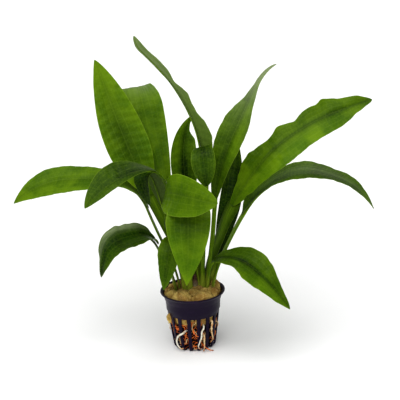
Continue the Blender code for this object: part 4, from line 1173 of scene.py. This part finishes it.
write_points(crown.data, crown_points)
bpy.ops.object.shade_smooth()


def make_crown_material():
    """Dark red-brown old stem, paler low down."""
    recipe = Recipe("crown_visual")
    fleck = recipe.noise(800.0, 5.0, 1.0)
    height = recipe.node("ShaderNodeSeparateXYZ", {0: recipe.place}).outputs[2]
    brown = recipe.mix(recipe.span(fleck, 0.4, 0.65), (0.035, 0.012, 0.006),
                       (0.13, 0.055, 0.025))
    pale = recipe.span(height, 0.057, 0.050)
    colour = recipe.mix(recipe.times(pale, 0.7), brown, (0.32, 0.28, 0.17))
    return recipe.finish(colour, 0.7, recipe.bump(fleck, 0.6, 0.0004))


finish_piece(crown, "crown_stub", make_crown_material(), ["crown"])

# %% [markdown]
# ## The roots
# The roots grow out of the slots and down the wall. Each main root keeps the route
# of its solid: the angle round the pot from its front, the height, and how far off
# the wall it runs. A smooth curve with round section is made along it, thicker and
# thinner by turns, as a root that met hard wool would be.
# %% Main roots
WALL = [(0.0, 17.2), (2.6, 17.9), (12.0, 19.3), (30.0, 21.6), (32.2, 21.9)]  # (height, radius)
ROOTS = {
    "root_white_hook": dict(
        route=[(-22, 18.5, -4.5), (-25, 18, -1), (-27, 17.5, 1.8), (-38, 14.5, 2),
               (-45, 9.5, 2), (-44, 5.5, 2), (-36, 3, 2.2), (-27, 4, 2.5)],
        thick=1.7, slot="pale_root"),
    "root_white_front": dict(
        route=[(26, 23, -4.6), (24, 23, -1.2), (20, 22, 2), (16, 19.5, 2.4),
               (15, 14, 2.4), (11, 9.5, 2.2), (8, 5.5, 2), (13, 2.8, 2)],
        thick=1.5, slot="pale_root"),
    "root_long_pale": dict(
        route=[(24, 15.5, -4.2), (23, 15.5, -1.3), (21.5, 15, 2.2), (21, 11, 3),
               (21, 5.5, 3.6), (19, 1.2, 4)],
        thick=1.5, slot="tan_root"),
    "root_tan_right": dict(
        route=[(46, 25, -4.8), (44, 26, -2), (42, 26, 1.4), (40.5, 21.5, 1.7),
               (41, 17, 1.7), (45, 12, 1.8), (46, 9, 1.7), (46, 5.6, -0.9)],
        thick=1.7, slot="tan_root"),
    "root_thin_right": dict(
        route=[(65, 23.5, -5), (65, 23.4, -2.4), (65, 22, 1.2), (64, 18.4, 1.4)],
        thick=1.0, slot="tan_root"),
    "root_brown_foot": dict(
        route=[(20, 7.2, -5.2), (21, 6.6, -2), (21, 5.8, 1.5), (27, 3.4, 3),
               (35, 1.3, 4.6), (41, 0.8, 6)],
        thick=1.1, slot="brown_root"),
    "root_pale_left": dict(
        route=[(-70, 24.5, -4.2), (-69, 24.5, -0.9), (-68, 24.2, 1.9),
               (-67, 20.6, 1.6), (-67, 17, 1.5)],
        thick=1.1, slot="pale_root"),
    "root_orange_front": dict(
        route=[(-2, 20, -5.6), (-2, 20, -2.2), (-1, 19, 1.4), (4, 16.4, 2.1),
               (9, 15, 2)],
        thick=1.3, slot="brown_root"),
}
ROOT_POINTS = 60


def wall_place(angle, height, off):
    """A point off the pot's wall, in mm, from the angle round its front."""
    heights, radii = np.array(WALL).T
    radius = float(np.interp(height, heights, radii)) + off
    turned = math.radians(angle - 90)
    return Vector((radius * math.cos(turned), radius * math.sin(turned), height))


def smooth_route(corners, count):
    """Points on a smooth curve through corners (Catmull-Rom)."""
    rows = np.array(corners)
    rows = np.vstack([2 * rows[0] - rows[1], rows, 2 * rows[-1] - rows[-2]])
    route = []
    for place in np.linspace(0, len(corners) - 1 - 1e-9, count):
        index = int(place)
        share = place - index
        before, here, following, after = rows[index:index + 4]
        route.append(0.5 * (2 * here + (following - before) * share
                            + (2 * before - 5 * here + 4 * following - after) * share ** 2
                            + (3 * here - before - 3 * following + after) * share ** 3))
    return route


def make_root_material(name, young, old, tip):
    """Root skin that runs from one colour at the pot to another at the tip."""
    recipe = Recipe(name + "_visual")
    along = recipe.painted("root_map")[0]
    blotch = recipe.noise(500.0, 4.0, 0.6)
    skin = recipe.mix(recipe.span(blotch, 0.4, 0.65), young, old)
    colour = recipe.mix(recipe.span(along, 0.7, 1.0), skin, tip)
    roughness = recipe.span(blotch, 0.3, 0.7, 0.35, 0.55)
    rings = recipe.noise(2600.0, 3.0)
    return recipe.finish(colour, roughness, recipe.bump(rings, 0.4, 0.0002))


ROOT_COLOURS = {            # young, old and at the tip
    "pale_root": ((0.80, 0.78, 0.68), (0.62, 0.56, 0.40), (0.50, 0.26, 0.09)),
    "tan_root": ((0.66, 0.50, 0.28), (0.52, 0.27, 0.09), (0.38, 0.16, 0.05)),
    "brown_root": ((0.85, 0.21, 0.025), (0.26, 0.035, 0.012), (0.36, 0.08, 0.03)),
}
root_skins = {slot: make_root_material(slot, *colours)
              for slot, colours in ROOT_COLOURS.items()}


def make_roots(name, slot, routes, sides, nodes=()):
    """One piece of roots, with how far along its root each point is."""
    tubes = make_tubes(name, routes, sides)
    centres = np.array([point for points, radii in routes for point in points])
    shares = np.concatenate([np.linspace(0, 1, len(points)) for points, radii in routes])
    values = np.ones((len(tubes.data.vertices), 4))
    for index, point in enumerate(read_points(tubes.data)):
        nearest = np.argmin(np.sum((centres - point) ** 2, axis=1))
        values[index, 0] = shares[nearest]
    paint(tubes.data, "root_map", values)
    finish_piece(tubes, name, root_skins[slot], nodes)


for root_name, root_entry in ROOTS.items():
    corners = [wall_place(*corner) for corner in root_entry["route"]]
    route = [point * MM for point in smooth_route(corners, ROOT_POINTS)]
    chance = Random(len(root_name) * 7)
    radii = []
    for step in range(ROOT_POINTS):
        share = step / (ROOT_POINTS - 1)
        lumps = 1 + 0.10 * math.sin(step * 0.9 + len(root_name)) + chance.uniform(-0.05, 0.05)
        radii.append(root_entry["thick"] / 2 * (1 - 0.45 * share ** 2) * lumps * MM)
    radii[-1] *= 0.5
    make_roots(root_name + "_skin", root_entry["slot"], [(route, radii)], 3, [root_name])

# %% [markdown]
# Fine roots fill the slots as orange and dark red tangles. They wander between the
# wool and the wall, so each is a random walk that is pushed back to that gap.
# %% Fine roots
TANGLE_POINTS = 14
TANGLE_GAP = (-3.6, -0.6)       # where tangles stay, out of the wall, in mm
TANGLES = [     # (angle from the front, its spread, lowest, highest, how many, red share)
    (-45, 7, 14, 22, 9, 0.9), (-45, 7, 5, 12, 4, 0.6), (-22, 7, 15, 21, 10, 0.95),
    (-22, 7, 4, 12, 6, 0.7), (0, 7, 11, 19, 6, 0.8), (0, 7, 3, 8, 7, 1.0),
    (22, 7, 10, 20, 5, 0.6), (22, 7, 3, 9, 3, 0.5), (45, 7, 6, 20, 4, 0.5),
    (-68, 7, 12, 26, 7, 0.7), (68, 8, 6, 24, 4, 0.7), (112, 20, 4, 22, 12, 0.7),
    (180, 40, 4, 20, 22, 0.7), (-112, 20, 4, 24, 14, 0.7),
]


def tangle_route(angle, height, chance):
    """A random walk in the gap behind a slot, that now and then bulges out."""
    off = chance.uniform(-3.2, -0.9)
    turn = chance.uniform(0, 2 * math.pi)
    route = []
    for step in range(TANGLE_POINTS):
        route.append(wall_place(angle, height, off) * MM)
        turn += chance.gauss(0, 0.55)
        angle += math.cos(turn) * 3.4
        height = min(max(height + math.sin(turn) * 1.2, 2.0), 28.0)
        off = min(max(off + chance.gauss(0, 0.5), TANGLE_GAP[0]), TANGLE_GAP[1])
    return route


chance = Random(5)
tangles = {"brown_root": [], "tan_root": []}
for middle, spread, low, high, count, red in TANGLES:
    for number in range(count):
        kind = "brown_root" if chance.random() < red else "tan_root"
        walk = tangle_route(middle + chance.uniform(-spread, spread),
                            chance.uniform(low, high), chance)
        thick = chance.uniform(0.18, 0.42) * MM
        radii = [thick * (1 - 0.4 * share) for share in np.linspace(0, 1, TANGLE_POINTS)]
        tangles[kind].append((walk, radii))
for kind, routes in tangles.items():
    make_roots("fine_" + kind + "s", kind, routes, 1)

# %% [markdown]
# At the far left a little wool has worked out through the top of a slot. The tuft is
# a small ball drawn long and then torn by noise.
# %% Tuft of wool in a left slot
TUFT_PLACE = (-68, 27.5, 0.3)       # angle from the front, height, out of the wall
TUFT_SIZE = np.array((1.9, 1.9, 3.6))
select_only()
bpy.ops.mesh.primitive_ico_sphere_add(subdivisions=6, radius=1.0)
tuft = bpy.context.active_object
middle = np.array(wall_place(*TUFT_PLACE))
torn = []
for point in read_points(tuft.data):
    swell = 1 + 0.5 * noise.fractal(Vector(point) * 1.6, 0.9, 2.1, 5)
    torn.append((middle + TUFT_SIZE * point * swell) * MM)
write_points(tuft.data, torn)
paint(tuft.data, "wool_map", [(1.0, 0.0, 1.0, 1.0)] * len(torn))
bpy.ops.object.shade_smooth()
finish_piece(tuft, "rock_wool_tuft", wool_skin)

# %% [markdown]
# ## Sizes
# Both boxes are printed: the solids' and the dressed plant's.
# %% Print the boxes
shown_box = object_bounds()
for name, box in (("CAD", cad_box), ("shown", shown_box)):
    print(name, [[round(value / MM, 1) for value in corner] for corner in box])
